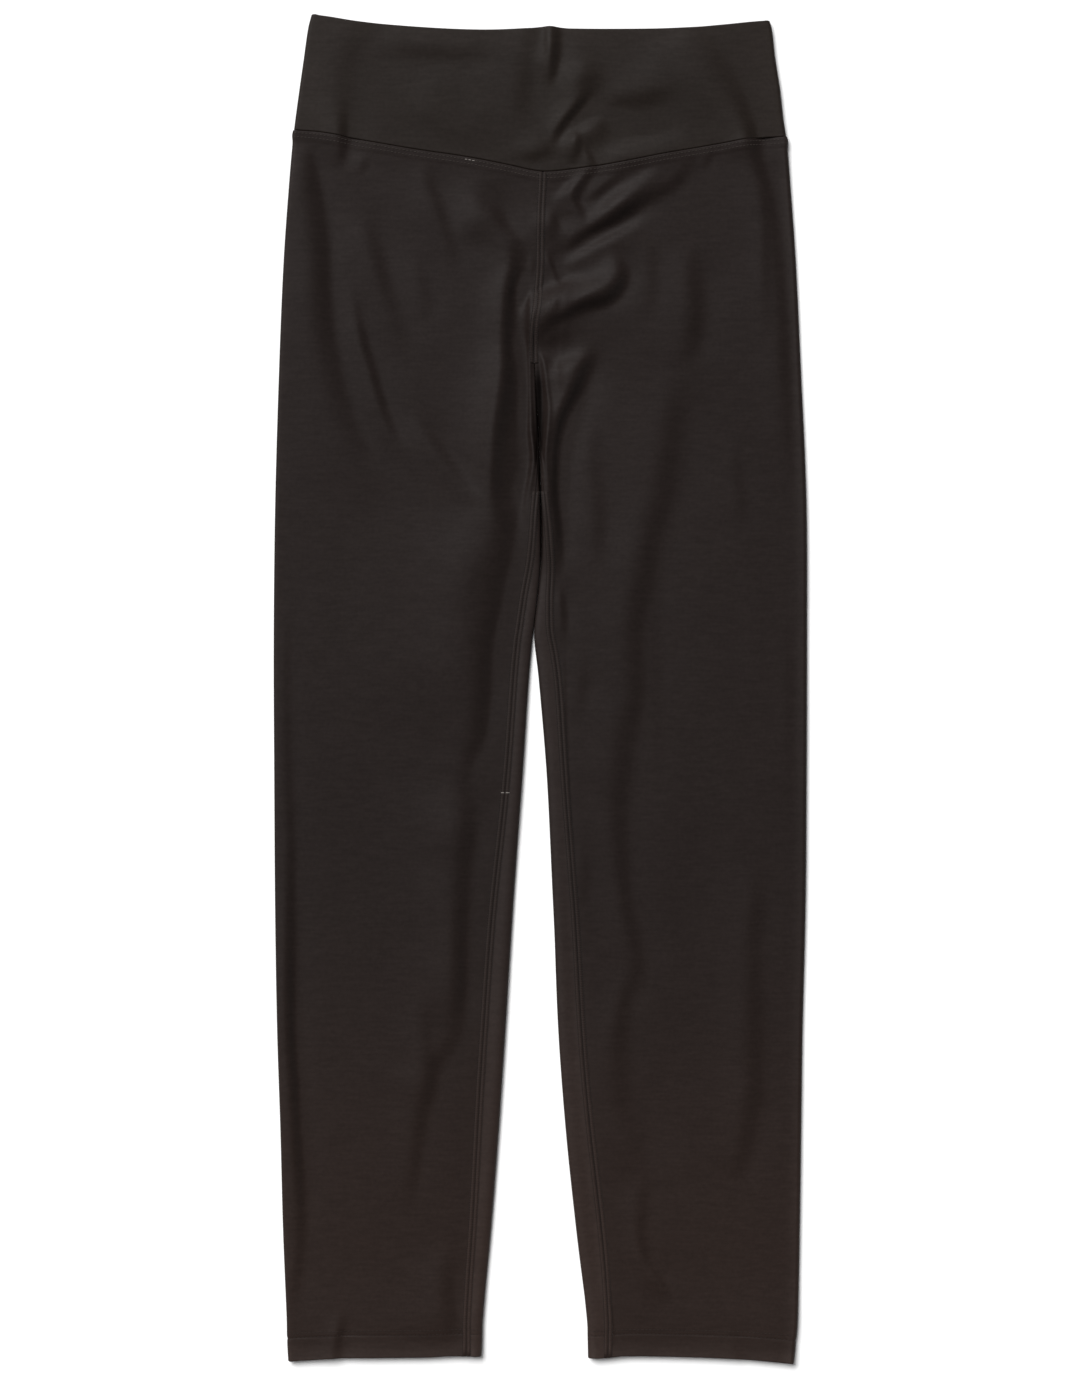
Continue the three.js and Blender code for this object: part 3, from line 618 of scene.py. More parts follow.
def spline(rows, steps):
    """A smooth curve through rows with any number of columns, as short straight steps."""
    rows = np.array(rows, float)
    ends = np.vstack([2 * rows[0] - rows[1], rows, 2 * rows[-1] - rows[-2]])
    curve = [rows[:1]]
    t = (np.arange(steps) + 1)[:, None] / steps
    for p0, p1, p2, p3 in zip(ends, ends[1:], ends[2:], ends[3:]):
        bend = (2 * p0 - 5 * p1 + 4 * p2 - p3) * t**2 + (3 * p1 - p0 - 3 * p2 + p3) * t**3
        curve.append(0.5 * (2 * p1 + (p2 - p0) * t + bend))
    return np.vstack(curve)


def evenly(path, spacing):
    """A path with its points spread evenly, at a share of its width from each other."""
    known = travelled(path[:, :2])
    count = math.ceil(known[-1] / (spacing * path[:, 3].min()))
    return at_lengths(np.linspace(0, known[-1], count + 1), known, path)


def with_widths(rows):
    """A crease's points, where one that leaves out its half width keeps the one before it."""
    whole = []
    for x, down, size, *width in rows:
        whole.append((x, down, size, *(width or whole[-1][3:])))
    return whole


def spline_weights(places, pitch):
    """How much each of a row of random values, a pitch apart, counts at each place."""
    at = (places - places[0]) / pitch + 1
    away = np.abs(at[:, None] - np.arange(int(at[-1]) + 3))
    near = (4 - 6 * away**2 + 3 * away**3) / 6
    far = np.clip(2 - away, 0, None) ** 3 / 6
    return np.where(away < 1, near, far)


class HeightMap:
    """Heights of creases, swells and fine unevenness over the whole garment, on a fine grid."""

    def __init__(self, seed, unevenness):
        self.xs = np.arange(-MAP_HALF, MAP_HALF, CELL)
        self.downs = np.arange(-MAP_MARGIN, LENGTH + MAP_MARGIN, CELL)
        self.height = np.zeros((len(self.downs), len(self.xs)))
        self.rng = np.random.default_rng(seed)
        for across, down, rise in unevenness:
            self.height += rise * self.noise(across, down)

    def noise(self, across, down):
        """Soft random hills, about as long and wide as stated."""
        rows, columns = spline_weights(self.downs, down), spline_weights(self.xs, across)
        return rows @ self.rng.standard_normal((rows.shape[1], columns.shape[1])) @ columns.T

    def add_swells(self, swells):
        for x, down, across, length, rise in zip(*swells.values()):
            hill = np.outer(bell((self.downs - down) / length), bell((self.xs - x) / across))
            self.height += rise * hill

    def around(self, x, down, half_x, half_down):
        """The part of the map round a place: its slice, and how far its cells lie from the place."""
        columns = slice(*np.searchsorted(self.xs, (x - half_x, x + half_x)))
        rows = slice(*np.searchsorted(self.downs, (down - half_down, down + half_down)))
        return (rows, columns), *np.meshgrid(self.xs[columns] - x, self.downs[rows] - down)

    def add_crease(self, rows, section, reach):
        """Draws a crease's cross-section along its path, evened out where the path bends."""
        path = evenly(spline(with_widths(rows), CREASE_STEPS), CREASE_SPACING)
        steps = np.gradient(path[:, :2], axis=0)
        lengths = np.hypot(*steps.T)
        drawn, total = np.zeros((2, *self.height.shape))
        for (x, down, size, width), length, (to_x, to_down) in zip(path, lengths, steps):
            to_x, to_down = to_x / length, to_down / length
            across, beside = reach * width, CREASE_BESIDE * width
            half_x = abs(to_down) * across + abs(to_x) * beside
            half_down = abs(to_x) * across + abs(to_down) * beside
            part, from_x, from_down = self.around(x, down, half_x, half_down)
            ahead = from_x * to_x + from_down * to_down
            share = length / (math.sqrt(math.pi) * width) * bell(ahead / width)
            far = from_x * to_down - from_down * to_x
            total[part] += share
            drawn[part] += share * section(far, size, width)
        self.height += drawn / (1 + total**EVENING) ** (1 / EVENING)

    def add_steps(self, creases):
        """Steps that fall or climb across their path and run out softly on both sides."""
        for name, rows in creases.items():
            skew = SKEWS.get(name, 0)

            def section(far, slope, width):
                near = width * np.where(far < 0, 1 + skew, 1 - skew)
                rise = slope * RUN_OUT / (RUN_OUT - 1)
                step = near * (erf(far / near) - erf(far / near / RUN_OUT))
                return rise * step + STEP_LIFT * abs(rise) * width * bell(far / near / RUN_OUT)

            self.add_crease(rows, section, STEP_REACH * (1 + skew))

    def add_folds(self, creases):
        """Rounded folds."""
        for rows in creases.values():
            self.add_crease(rows, lambda far, rise, width: rise * bell(far / width), FOLD_REACH)

    def at(self, x, down):
        u = np.clip((x - self.xs[0]) / CELL, 0, len(self.xs) - LAST_CELL)
        v = np.clip((down - self.downs[0]) / CELL, 0, len(self.downs) - LAST_CELL)
        i, j = u.astype(int), v.astype(int)
        u, v = u - i, v - j
        h = self.height
        return lerp(lerp(h[j, i], h[j, i + 1], u), lerp(h[j + 1, i], h[j + 1, i + 1], u), v)


RIGHT = Side("right", -1, 0.2)
LEFT = Side("left", 1, 1.0)
SIDES = (RIGHT, LEFT)

# Unevenness as length across, length down and rise, from broad to fine
legs_map = HeightMap(11, ((34, 90, 0.28), (16, 34, 0.12), (7, 9, 0.045)))
legs_map.add_swells(SWELLS)
legs_map.add_steps(FRONT_STEPS)
legs_map.add_steps(WAIST_STEPS)
legs_map.add_folds(FRONT_RIDGES)
back_map = HeightMap(23, ((30, 70, 0.12), (12, 20, 0.05)))
back_map.add_folds(BACK_FOLDS)


def keep_above(height, least):
    """Keeps heights above the least one, with a soft bend between the two."""
    return least + SOFT_BEND * np.logaddexp(0, (height - least) / SOFT_BEND)


def back_height(x, down):
    """Height of the back's outer face, which its centre seam holds off the floor."""
    seam = 1 - ease((down - BACK_SEAM_END) / BACK_SEAM_FADE)
    seam = seam * bell((x - LEFT.inner_edge(down)) / BACK_SEAM_REACH)
    return BACK_LEVEL + BACK_SEAM_LIFT * seam + np.clip(back_map.at(x, down), 0, None)


def leg_wall(level):
    return np.where(level > HEM_LINE, FOLDED, CLOTH)


def seam_groove(away):
    return GROOVE_DEPTH * bell(away / GROOVE_WIDTH)


def allowance(below):
    """The waist seam's allowance under the leg: a low band that ends below the topstitching."""
    end = 1 - ease((below - ALLOWANCE_END) / ALLOWANCE_FADE)
    return ALLOWANCE_RISE * ease(below / ALLOWANCE_START) * end


def inner_rounding(down):
    """How far the legs' inner folds have rounded out."""
    return ease((down - FOLDS_START) / FOLDS_FADE)


def roll_lift(side, x, down):
    """How far the cloth lifts beside the rolled folds at its edges."""
    outer = side.outer_lift * bell((side.outer_edge(down) - x) / OUTER_REACH)
    inside = side.out * (x - side.inner_edge(down))
    inner = INNER_LIFT * bell((inside - INNER_ROLL) / INNER_REACH)
    return outer + inner_rounding(down) * inner


def dip_away(x, down):
    """How far places lie from the middle of the dip at the crotch, in its half widths."""
    return (x - along(DIP, "down", "x", down)) / along(DIP, "down", "width", down)


def dip(x, down, height):
    """How far the front sinks at the crotch from the height it would have."""
    opening = ease((down - DIP_START) / DIP_OPENING)
    closing = ease((DIP_END - down) / (DIP_END - CROTCH))
    lowest = BACK_LEVEL + 2 * CLOTH + AIR
    return opening * closing * bell(dip_away(x, down) ** 2) * np.clip(height - lowest, 0, None)


def leg_front(side, x, down, level):
    """Height of a leg's front face."""
    near_seam = np.exp((WAIST_SEAM - level) / WAIST_SLOPE)
    below_seam = level - WAIST_SEAM
    plain = lerp(LEG_LEVEL, SEAM_LEVEL, near_seam) + allowance(below_seam) - seam_groove(below_seam)
    below_stitching = level - HEM_LINE
    near_hem = ease(1 + below_stitching / HEM_SLOPE)
    groove = HEM_GROOVE * bell(below_stitching / HEM_GROOVE_WIDTH)
    curl = HEM_CURL * np.clip(below_stitching / HEM_DEPTH, 0, 1) ** 2
    height = lerp(plain, HEM_LEVEL, near_hem) - groove + curl
    height = height + roll_lift(side, x, down) + legs_map.at(x, down)
    height = height - dip(x, down, height)
    return keep_above(height, back_height(x, down) + 2 * leg_wall(level) + AIR)


def waist_front(x, down, seam_down):
    """Height of the waistband's front face, which dips into the waist seam."""
    height = WAIST_LEVEL + legs_map.at(x, down) - seam_groove(seam_down - down)
    return keep_above(height, back_height(x, down) + 2 * FOLDED + AIR)


def leg_down(x, level, seam):
    """Where a level of a leg really lies down the garment."""
    waist = 1 - ease((level - WAIST_SEAM) / WAIST_FADE)
    hem = ease((level - HEM + HEM_FADE) / HEM_FADE)
    return level + waist * (seam(x) - WAIST_SEAM) + hem * along(HEM_DROP, "x", "drop", x)


def meeting(edge, down_at):
    """Where a row that is curved along a seam meets an edge, found by stepping towards it."""
    x = edge(down_at(edge(WAIST_SEAM)))
    for _ in range(MEETING_STEPS):
        x = edge(down_at(x))
    return float(x), float(down_at(x))


def points(x, down, z):
    """Points as an array of x, y and z."""
    x, down, z = np.broadcast_arrays(x, down, z)
    return np.stack([x, LENGTH / 2 - down, z], axis=-1).astype(float)


class Strip:
    """A row of cloth across the garment: matching points on its outer and inner faces."""

    def __init__(self, outer, inner):
        self.outer = outer
        self.inner = inner

    def __add__(self, other):
        return Strip(np.vstack([self.outer, other.outer]), np.vstack([self.inner, other.inner]))

    def reversed(self):
        return Strip(self.outer[::-1], self.inner[::-1])

    def length(self):
        return travelled(self.outer)[-1]

    def at(self, lengths):
        known = travelled(self.outer)
        return Strip(*(at_lengths(lengths, known, face) for face in (self.outer, self.inner)))


def level_strip(x, down, z, wall):
    """Level cloth from its outer face's heights; a negative wall puts its inner face below."""
    return Strip(points(x, down, z), points(x, down, z + wall))


def quarter(rim, inwards, half, wall, side_z, flat_z, down):
    """A quarter ellipse of cloth, from the rim of a fold to where the cloth lies level."""
    angle = np.linspace(0, math.pi / 2, ARC_SAMPLES)
    across, up = inwards * np.cos(angle), np.sin(angle)
    rise = flat_z - side_z
    inner_rise = np.sign(rise) * max(0, abs(rise) - wall)
    centre = rim + inwards * half
    return Strip(
        points(centre - half * across, down, side_z + rise * up),
        points(centre - (half - wall) * across, down, side_z + inner_rise * up),
    )


def spaced(length, count, spacing, start=0):
    """Lengths from start to length, close together near both ends."""
    near, between, reach = spacing
    at = np.linspace(start, length, SPACING_SAMPLES)
    from_end = np.minimum(at - start, length - at)
    density = 1 / lerp(near, between, ease(from_end / reach))
    passed = np.concatenate([[0], np.cumsum((density[1:] + density[:-1]) / 2)])
    return np.interp(np.linspace(0, passed[-1], count), passed, at)


def inner_turn(side, level, front_down, back_down, height):
    """The quarter folds of the front and the back at the inner edge, and where both end."""
    out, wall = side.out, leg_wall(level)
    front_x, front_at = meeting(side.inner_edge, front_down)
    back_x, back_at = meeting(side.inner_edge, back_down)
    front_x += out * SEAM_GAP / 2
    back_x += out * SEAM_GAP / 2
    grown = float(inner_rounding(level))
    half = max(wall + LEAST_HOLLOW, lerp(SEAM_ROLL, INNER_ROLL, grown))
    front_start, back_end = front_x + out * half, back_x + out * half
    top, floor = float(height(front_start)), float(back_height(back_end, back_at))
    back_side = lerp(floor + wall, (top + floor - SEAM_GAP) / 2, grown)
    front_side = back_side + SEAM_GAP
    if level < CROTCH:
        sunk = float(ease(1 - (CROTCH - level) / CROTCH_CLOSE))
        front_side = lerp(top - wall, floor + wall + SEAM_GAP, sunk)
    over = quarter(front_x, out, half, wall, front_side, top, front_at)
    under = quarter(back_x, out, half, wall, back_side, floor, back_at).reversed()
    return over, under, front_start, back_end


def side_fold(front_end, out, down, wall, top, floor):
    """The half ellipse of cloth round a side fold, from the end of the front to the back."""
    angle = np.linspace(0, math.pi, OUTER_COLUMNS + 1)[1:]
    middle, high = (top + floor) / 2, (top - floor) / 2
    around, up = out * np.sin(angle), np.cos(angle)
    return Strip(
        points(front_end + OUTER_ROLL * around, down, middle + high * up),
        points(front_end + (OUTER_ROLL - wall) * around, down, middle + (high - wall) * up),
    )


def leg_row(side, level):
    """One row of a leg, and its front and turned-under parts with the rim between them."""
    out, wall = side.out, leg_wall(level)

    def front_down(x):
        return leg_down(x, level, front_seam)

    def back_down(x):
        return leg_down(x, level, back_seam)

    def height(x):
        return leg_front(side, x, front_down(x), level)

    over, under, front_start, back_end = inner_turn(side, level, front_down, back_down, height)
    outer_x, outer_down = meeting(side.outer_edge, front_down)
    bulge = BULGE * bell((level - BULGE_LEVEL) / BULGE_WIDTH)
    bulge -= DRAWN_IN * bell((level - HEM_LINE) / DRAWN_WIDTH)
    front_end = outer_x + out * bulge - out * OUTER_ROLL

    x = np.linspace(front_start, front_end, FRONT_SAMPLES)[1:]
    z = height(x)
    front = over + level_strip(x, front_down(x), z, -wall)
    top, floor = float(z[-1]), float(back_height(front_end, outer_down))
    fold = side_fold(front_end, out, outer_down, wall, top, floor)
    x = np.linspace(front_end, back_end, BACK_COLUMNS + 1)[1:]
    back = level_strip(x, back_down(x), back_height(x, back_down(x)), wall)

    open_front = level < CROTCH
    seam_at = 0 if open_front else float(side.inseam(level)) + SEAM_GAP / 2
    turn = under if open_front else under + front
    turn_length = under.length() + max(0, seam_at - SEAM_GAP)
    turned = turn.at(spaced(turn_length, TURN_COLUMNS + 1, TURN_SPACING)[1:])
    shown = front.at(spaced(front.length(), FRONT_COLUMNS, FRONT_SPACING, seam_at))
    return shown + fold + back + turned, front, under


def pinch(strip, edge):
    """Rounds the folded edge of doubled cloth: draws its two faces together close to it."""
    inside = min(1, edge / (FOLDED / 2))
    share = PINCH * (1 - math.sqrt(1 - (1 - inside) ** 2))
    middle = (strip.outer + strip.inner) / 2
    return Strip(lerp(strip.outer, middle, share), lerp(strip.inner, middle, share))


def leg_levels():
    """Levels of a leg's rows, an odd number of them."""
    levels = [WAIST_SEAM + SEAM_GAP]
    for end, spacing in ROW_STRETCHES:
        start = levels[-1]
        count = 2 * round((end - start) / spacing / 2)
        levels.extend(np.linspace(start, end, count + 1)[1:])
    return levels


def wall_mesh(outer, inner, flip):
    """A closed wall. The inner face takes every other row and column of the outer one."""
    inner = inner[::2, ::2]
    rows, columns = outer.shape[:2]
    o = np.arange(rows * columns).reshape(rows, columns)
    n = rows * columns + np.arange(inner.shape[0] * inner.shape[1]).reshape(inner.shape[:2])
    faces = []
    for grid, turned in ((o, False), (n, True)):
        corners = [grid[:-1, :-1], grid[1:, :-1], grid[1:, 1:], grid[:-1, 1:]]
        if turned:
            corners.reverse()
        faces.extend(np.stack([c.ravel() for c in corners], axis=1).tolist())
    smooth = len(faces)
    for fine, coarse, turned in (
        (o[0], n[0], False),
        (o[-1], n[-1], True),
        (o[:, 0], n[:, 0], True),
        (o[:, -1], n[:, -1], False),
    ):
        rim = np.stack([fine[:-2:2], fine[1:-1:2], fine[2::2], coarse[1:], coarse[:-1]], axis=1)
        faces.extend((rim[:, ::-1] if turned else rim).tolist())
    if flip:
        faces = [face[::-1] for face in faces]
    return np.vstack([outer.reshape(-1, 3), inner.reshape(-1, 3)]), faces, smooth


def make_piece(name, vertices, faces, material, slot, smooth=None):
    """A Blender object from vertices in millimetres; faces past the smooth ones stay flat."""
    mesh = bpy.data.meshes.new(name)
    mesh.from_pydata((vertices * MM).tolist(), [], faces)
    shading = np.ones(len(faces), bool)
    if smooth is not None:
        shading[smooth:] = False
    mesh.polygons.foreach_set("use_smooth", shading)
    mesh.materials.append(material)
    mesh.update()
    piece = bpy.data.objects.new(name, mesh)
    bpy.context.scene.collection.objects.link(piece)
    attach(piece, "root")
    return piece


def cloth_piece(name, rows, flip, material, slot):
    """A piece of cloth from its rows, and the grid of points of its outer face."""
    outer = np.stack([row.outer for row in rows])
    inner = np.stack([row.inner for row in rows])
    vertices, faces, smooth = wall_mesh(outer, inner, flip)
    return make_piece(name, vertices, faces, material, slot, smooth), outer


def leg_tone_and_painted_light(side, outer, levels):
    """How much lighter the cloth is beside the inseam and on the hem, plus the painted sheen along the
    side fold, less the painted shade deep in the dip between the legs and on the inner fold's rim."""
    x, down = outer[..., 0], LENGTH / 2 - outer[..., 1]
    inside = side.out * (x - side.inner_edge(down))
    strip = ease((side.inseam(down) - inside) / STRIP_FADE) * ease((down - CROTCH) / STRIP_START)
    # Painted sheen along the side fold
    edge = bell((side.outer_edge(down) - x) / EDGE_WIDTH)
    hem = ease((np.array(levels) - HEM_LINE) / HEM_DEPTH)
    paler = STRIP_PALER * strip + EDGE_PAINTED_SHEEN * edge + HEM_PALER * hem[:, None]
    # Painted shade deep in the dip between the legs, where little light reaches
    opened = ease((down - DARK_START) / DARK_OPENING) * ease((DIP_END - down) / DARK_CLOSING)
    painted_dip_shade = opened * bell((dip_away(x, down) / DIP_SHARE) ** 2)
    # Painted shade on the rim of each inner fold, its side away from the light
    rim = inner_rounding(down) * ease((RIM_END - down) / (RIM_END - CROTCH))
    return paler - DIP_PAINTED_SHADE * painted_dip_shade - RIM_PAINTED_SHADE * rim * bell(inside / RIM_WIDTH)


def waist_painted_sheen(outer):
    """The painted sheen that lightens the waistband along its folded edge and its side folds."""
    x, down = outer[..., 0], LENGTH / 2 - outer[..., 1]
    top = bell((down - along(WAIST_EDGE, "x", "down", x)) / WAIST_EDGE_WIDTH)
    sides = sum(bell((side.outer_edge(down) - x) / WAIST_SIDE_WIDTH) for side in SIDES)
    return WAIST_PAINTED_SHEEN * np.maximum(top, sides)


def set_tone_and_painted_light(piece, paler):
    """Stores how much lighter or darker a piece's cloth is on its outer face, painted sheen and
    painted shade included, and returns the piece.
    """
    values = np.zeros(len(piece.data.vertices))
    values[: paler.size] = paler.ravel()
    piece.data.attributes.new("paler", "FLOAT", "POINT").data.foreach_set("value", values)
    return piece


def leg_piece(side, material):
    """A leg of single cloth, with its hem turned up and the hem's folded edge rounded."""
    rows = []
    levels = leg_levels()
    for level in levels:
        row = leg_row(side, level)[0]
        if level > HEM - FOLDED / 2:
            row = pinch(row, HEM - level)
        rows.append(row)
    name = f"cloth_leg_{side.name}"
    leg, outer = cloth_piece(name, rows, side is RIGHT, material, "leg_knit")
    return set_tone_and_painted_light(leg, leg_tone_and_painted_light(side, outer, levels))


def waist_row(edge, share, is_front):
    """One row of a waistband panel, from the right side fold to the left one."""
    seam = front_seam if is_front else back_seam

    def down_at(x):
        return lerp(along(WAIST_EDGE, "x", "down", x), seam(x) - SEAM_GAP, share)

    arcs, starts = [], []
    for side in SIDES:
        x, down = meeting(side.outer_edge, down_at)
        start = x - side.out * OUTER_ROLL
        top = float(waist_front(start, down, seam(x)))
        floor = float(back_height(start, down))
        middle = (top + floor + (SEAM_GAP if is_front else -SEAM_GAP)) / 2
        flat_z = top if is_front else floor
        arc = quarter(x, -side.out, OUTER_ROLL, FOLDED, middle, flat_z, down)
        arcs.append(arc.at(np.linspace(0, arc.length(), WAIST_ARC_COLUMNS + 1)))
        starts.append(start)
    columns = WAIST_COLUMNS if is_front else WAIST_COLUMNS // 2
    x = np.linspace(*starts, columns + 1)[1:-1]
    down = down_at(x)
    if is_front:
        flat = level_strip(x, down, waist_front(x, down, seam(x)), -FOLDED)
    else:
        flat = level_strip(x, down, back_height(x, down), FOLDED)
    return pinch(arcs[0] + flat + arcs[1].reversed(), edge)


def waist_piece(name, is_front, material):
    """A waistband panel of doubled cloth, with its fold at the waist edge rounded."""
    count = WAIST_ROWS if is_front else WAIST_ROWS // 2
    lower = spaced(WAIST_DEPTH, count, WAIST_SPACING, WAIST_FIRST_ROWS[-1])[1:]
    rows = [waist_row(edge, edge / WAIST_DEPTH, is_front) for edge in (*WAIST_FIRST_ROWS, *lower)]
    if len(rows) % 2 == 0:
        rows.pop(-2)
    waistband, outer = cloth_piece(name, rows, not is_front, material, "waistband_knit")
    return set_tone_and_painted_light(waistband, waist_painted_sheen(outer))


# A thread's sides and rings: each ring's place along it and its share of the radius
THREAD_SIDES = 6
THREAD_RINGS = ((0, 0.35), (0.14, 0.9), (0.5, 1), (0.86, 0.9), (1, 0.35))
THREAD_SUNK = 0.4  # how deep it lies, as a share of its radius

# A flat seam's band in cross-section: offsets across it and heights over the cloth
BAND_PROFILE = (
    (-3, -0.3), (-2.75, -0.05), (-2.3, 0.28), (-1.5, 0.42), (-0.7, 0.28), (-0.25, -0.05), (0, -0.15),
    (0.25, -0.05), (0.7, 0.28), (1.5, 0.42), (2.3, 0.28), (2.75, -0.05), (3, -0.3),
    (3, -0.5), (-3, -0.5),
)
RIBS = ((-2.4, -0.6), (0.6, 2.4))  # offsets between which a rib's thread crosses
RIB_START = 0.3
RIB_SLANT = 0.3
RIB_HEIGHT = 0.26
RIB_RADIUS = 0.32
RIB_ARCH = 0.15
NEEDLE_ROWS = (-2.9, 0, 2.9)  # offsets of the sunk stitches between and beside the ribs
NEEDLE_LENGTH = 0.9
NEEDLE_HEIGHT = 0.12
NEEDLE_RADIUS = 0.3
NEEDLE_ARCH = 0.05
FLAT_PITCH = 1.7

# Rows of topstitching and of cover stitching, by level
STITCH_HEIGHT = 0.05
STITCH_ARCH = 0.14
ROW_SHIFT = 0.5  # how far a row's stitches start past those of the row before
WAIST_STITCHES = (WAIST_SEAM + 2, WAIST_SEAM + 4.7)
WAIST_PITCH = 2.6
WAIST_STITCH = 1.9
WAIST_RADIUS = 0.26
HEM_STITCHES = (HEM_LINE - 0.4, HEM_LINE - 3.4)
HEM_PITCH = 2.8
HEM_STITCH = 2.0
HEM_RADIUS = 0.22

# Pale thread: a stretch of the waist's upper row, in x, and two threads across the right inseam
PALE_STRETCH = (-53, -44)
PALE_HEIGHT = 0.15
PALE_RADIUS = 0.3
PALE_ARCH = 0.16
TICK_LEVEL = 548
TICK_ENDS = (-3.3, -0.5, 0.5, 2.8)
TICK_HEIGHT = 0.5
TICK_RADIUS = 0.35
TICK_ARCH = 0.1

# Levels at which the seams' courses have points
CENTRE = 2  # about where the centre seams lie, in x
SEAM_START = WAIST_SEAM + 0.8
CENTRE_FRONT_LEVELS = np.arange(SEAM_START, CROTCH - 25, 1.2)
CENTRE_BACK_LEVELS = np.arange(SEAM_START, CROTCH + 8, 1.5)
INSEAM_LEVELS = np.concatenate(
    [np.arange(INSEAM_START, MID_LEG, 2.0), np.linspace(MID_LEG, HEM - 0.6, 97)]
)


class Course:
    """A line on the cloth along which thread is sewn: its points, and their way out of the cloth."""

    def __init__(self, places, outwards):
        self.places = places
        self.outwards = unit(outwards)

    def raised(self, height):
        return Course(self.places + height * self.outwards, self.outwards)

    def at(self, lengths):
        known = travelled(self.places)
        return at_lengths(lengths, known, self.places), unit(at_lengths(lengths, known, self.outwards))

    def length(self):
        return travelled(self.places)[-1]


def stitches(starts, ends, outwards, radius, arch):
    """Short arched threads from starts to ends, as one mesh's vertices and faces."""
    angle = np.arange(THREAD_SIDES) * 2 * math.pi / THREAD_SIDES
    direction = unit(ends - starts)
    across = unit(np.cross(outwards, direction))
    up = np.cross(direction, across)
    rings = []
    for t, size in THREAD_RINGS:
        centre = lerp(starts, ends, t) + (arch * math.sin(math.pi * t) - THREAD_SUNK * radius) * up
        for a in angle:
            rings.append(centre + radius * size * (math.cos(a) * across + math.sin(a) * up))
    vertices = np.stack(rings, axis=1)
    count, each = vertices.shape[:2]
    last = each - THREAD_SIDES
    faces = []
    for ring in range(0, last, THREAD_SIDES):
        for k in range(THREAD_SIDES):
            a, b = ring + k, ring + (k + 1) % THREAD_SIDES
            faces.append([a, b, b + THREAD_SIDES, a + THREAD_SIDES])
    faces += [list(range(THREAD_SIDES))[::-1], list(range(last, each))]
    shift = (np.arange(count) * each)[:, None]
    every = []
    for face in faces:
        every.extend((np.array(face)[None, :] + shift).tolist())
    return vertices.reshape(-1, 3), every


def stitch_ends(course, pitch, length, offset=0.0):
    """Where stitches one after another along a course start and end, and their way outwards."""
    starts = np.arange(offset, course.length() - length, pitch)
    a, out_a = course.at(starts)
    b, out_b = course.at(starts + length)
    return a, b, unit(out_a + out_b)


def joined(parts):
    """Several meshes' vertices and faces as one."""
    vertices, faces, base = [], [], 0
    for part_vertices, part_faces in parts:
        vertices.append(part_vertices)
        faces.extend([[base + k for k in face] for face in part_faces])
        base += len(part_vertices)
    return np.vstack(vertices), faces


def sewn_piece(name, parts, material):
    """A piece of sewing made of closed parts, with their faces turned outwards."""
    piece = make_piece(name, *joined(parts), material, "thread")
    mesh = bmesh.new()
    mesh.from_mesh(piece.data)
    bmesh.ops.recalc_face_normals(mesh, faces=mesh.faces)
    mesh.to_mesh(piece.data)
    mesh.free()
    return piece


def seam_band(surface):
    """A flat seam's closed band, from its cross-section and the lines at its offsets."""
    lines = [Course(*surface(offset)).raised(height).places for offset, height in BAND_PROFILE]
    rings = np.stack(lines, axis=1)
    count, around = rings.shape[:2]
    index = np.arange(count * around).reshape(count, around)
    turned = np.roll(index, -1, axis=1)
    quads = np.stack([index[:-1], turned[:-1], turned[1:], index[1:]], axis=-1)
    faces = quads.reshape(-1, 4).tolist() + [index[0][::-1].tolist(), index[-1].tolist()]
    return rings.reshape(-1, 3), faces


def seam_rib(surface, start, end):
    """The threads of one rib of a flat seam, which cross from one offset to another."""
    first, last = [Course(*surface(offset)).raised(RIB_HEIGHT) for offset in (start, end)]
    shorter = min(first.length(), last.length())
    starts = np.arange(RIB_START, shorter - FLAT_PITCH, FLAT_PITCH)
    a, out_a = first.at(starts)
    b, out_b = last.at(starts + RIB_SLANT * FLAT_PITCH)
    return stitches(a, b, unit(out_a + out_b), RIB_RADIUS, RIB_ARCH)


def seam_needles(surface, offset):
    """A sunk row of stitches along a flat seam."""
    course = Course(*surface(offset)).raised(NEEDLE_HEIGHT)
    return stitches(*stitch_ends(course, FLAT_PITCH, NEEDLE_LENGTH), NEEDLE_RADIUS, NEEDLE_ARCH)


def flat_seam(name, surface, band_knit, rib_thread, sunk_thread):
    """A flat seam: a low band, the threads of its two ribs, and three sunk rows."""
    ribs = [seam_rib(surface, start, end) for start, end in RIBS]
    rows = [seam_needles(surface, offset) for offset in NEEDLE_ROWS]
    return [
        sewn_piece(f"{name}_band", [seam_band(surface)], band_knit),
        sewn_piece(f"{name}_thread", ribs, rib_thread),
        sewn_piece(f"{name}_needles", rows, sunk_thread),
    ]


def centre_front_surface(offset):
    """The line on the front at an offset from the centre front seam, and its way outwards."""
    level = CENTRE_FRONT_LEVELS
    down = leg_down(CENTRE, level, front_seam)
    middle = LEFT.inner_edge(down)

    def height(x):
        left, right = [leg_front(side, x, down, level) for side in (LEFT, RIGHT)]
        return np.where(x > middle, left, right)

    x = middle + offset
    slope = (height(x + 1) - height(x - 1)) / 2
    outwards = np.stack([-slope, np.zeros(len(x)), np.ones(len(x))], axis=1)
    return points(x, down, height(x)), unit(outwards)


def centre_back_surface(offset):
    """The line on the back at an offset from the centre back seam, facing the floor."""
    down = leg_down(CENTRE, CENTRE_BACK_LEVELS, back_seam)
    x = LEFT.inner_edge(down) + offset
    outwards = np.tile([0.0, 0.0, -1.0], (len(x), 1))
    return points(x, down, back_height(x, down)), outwards


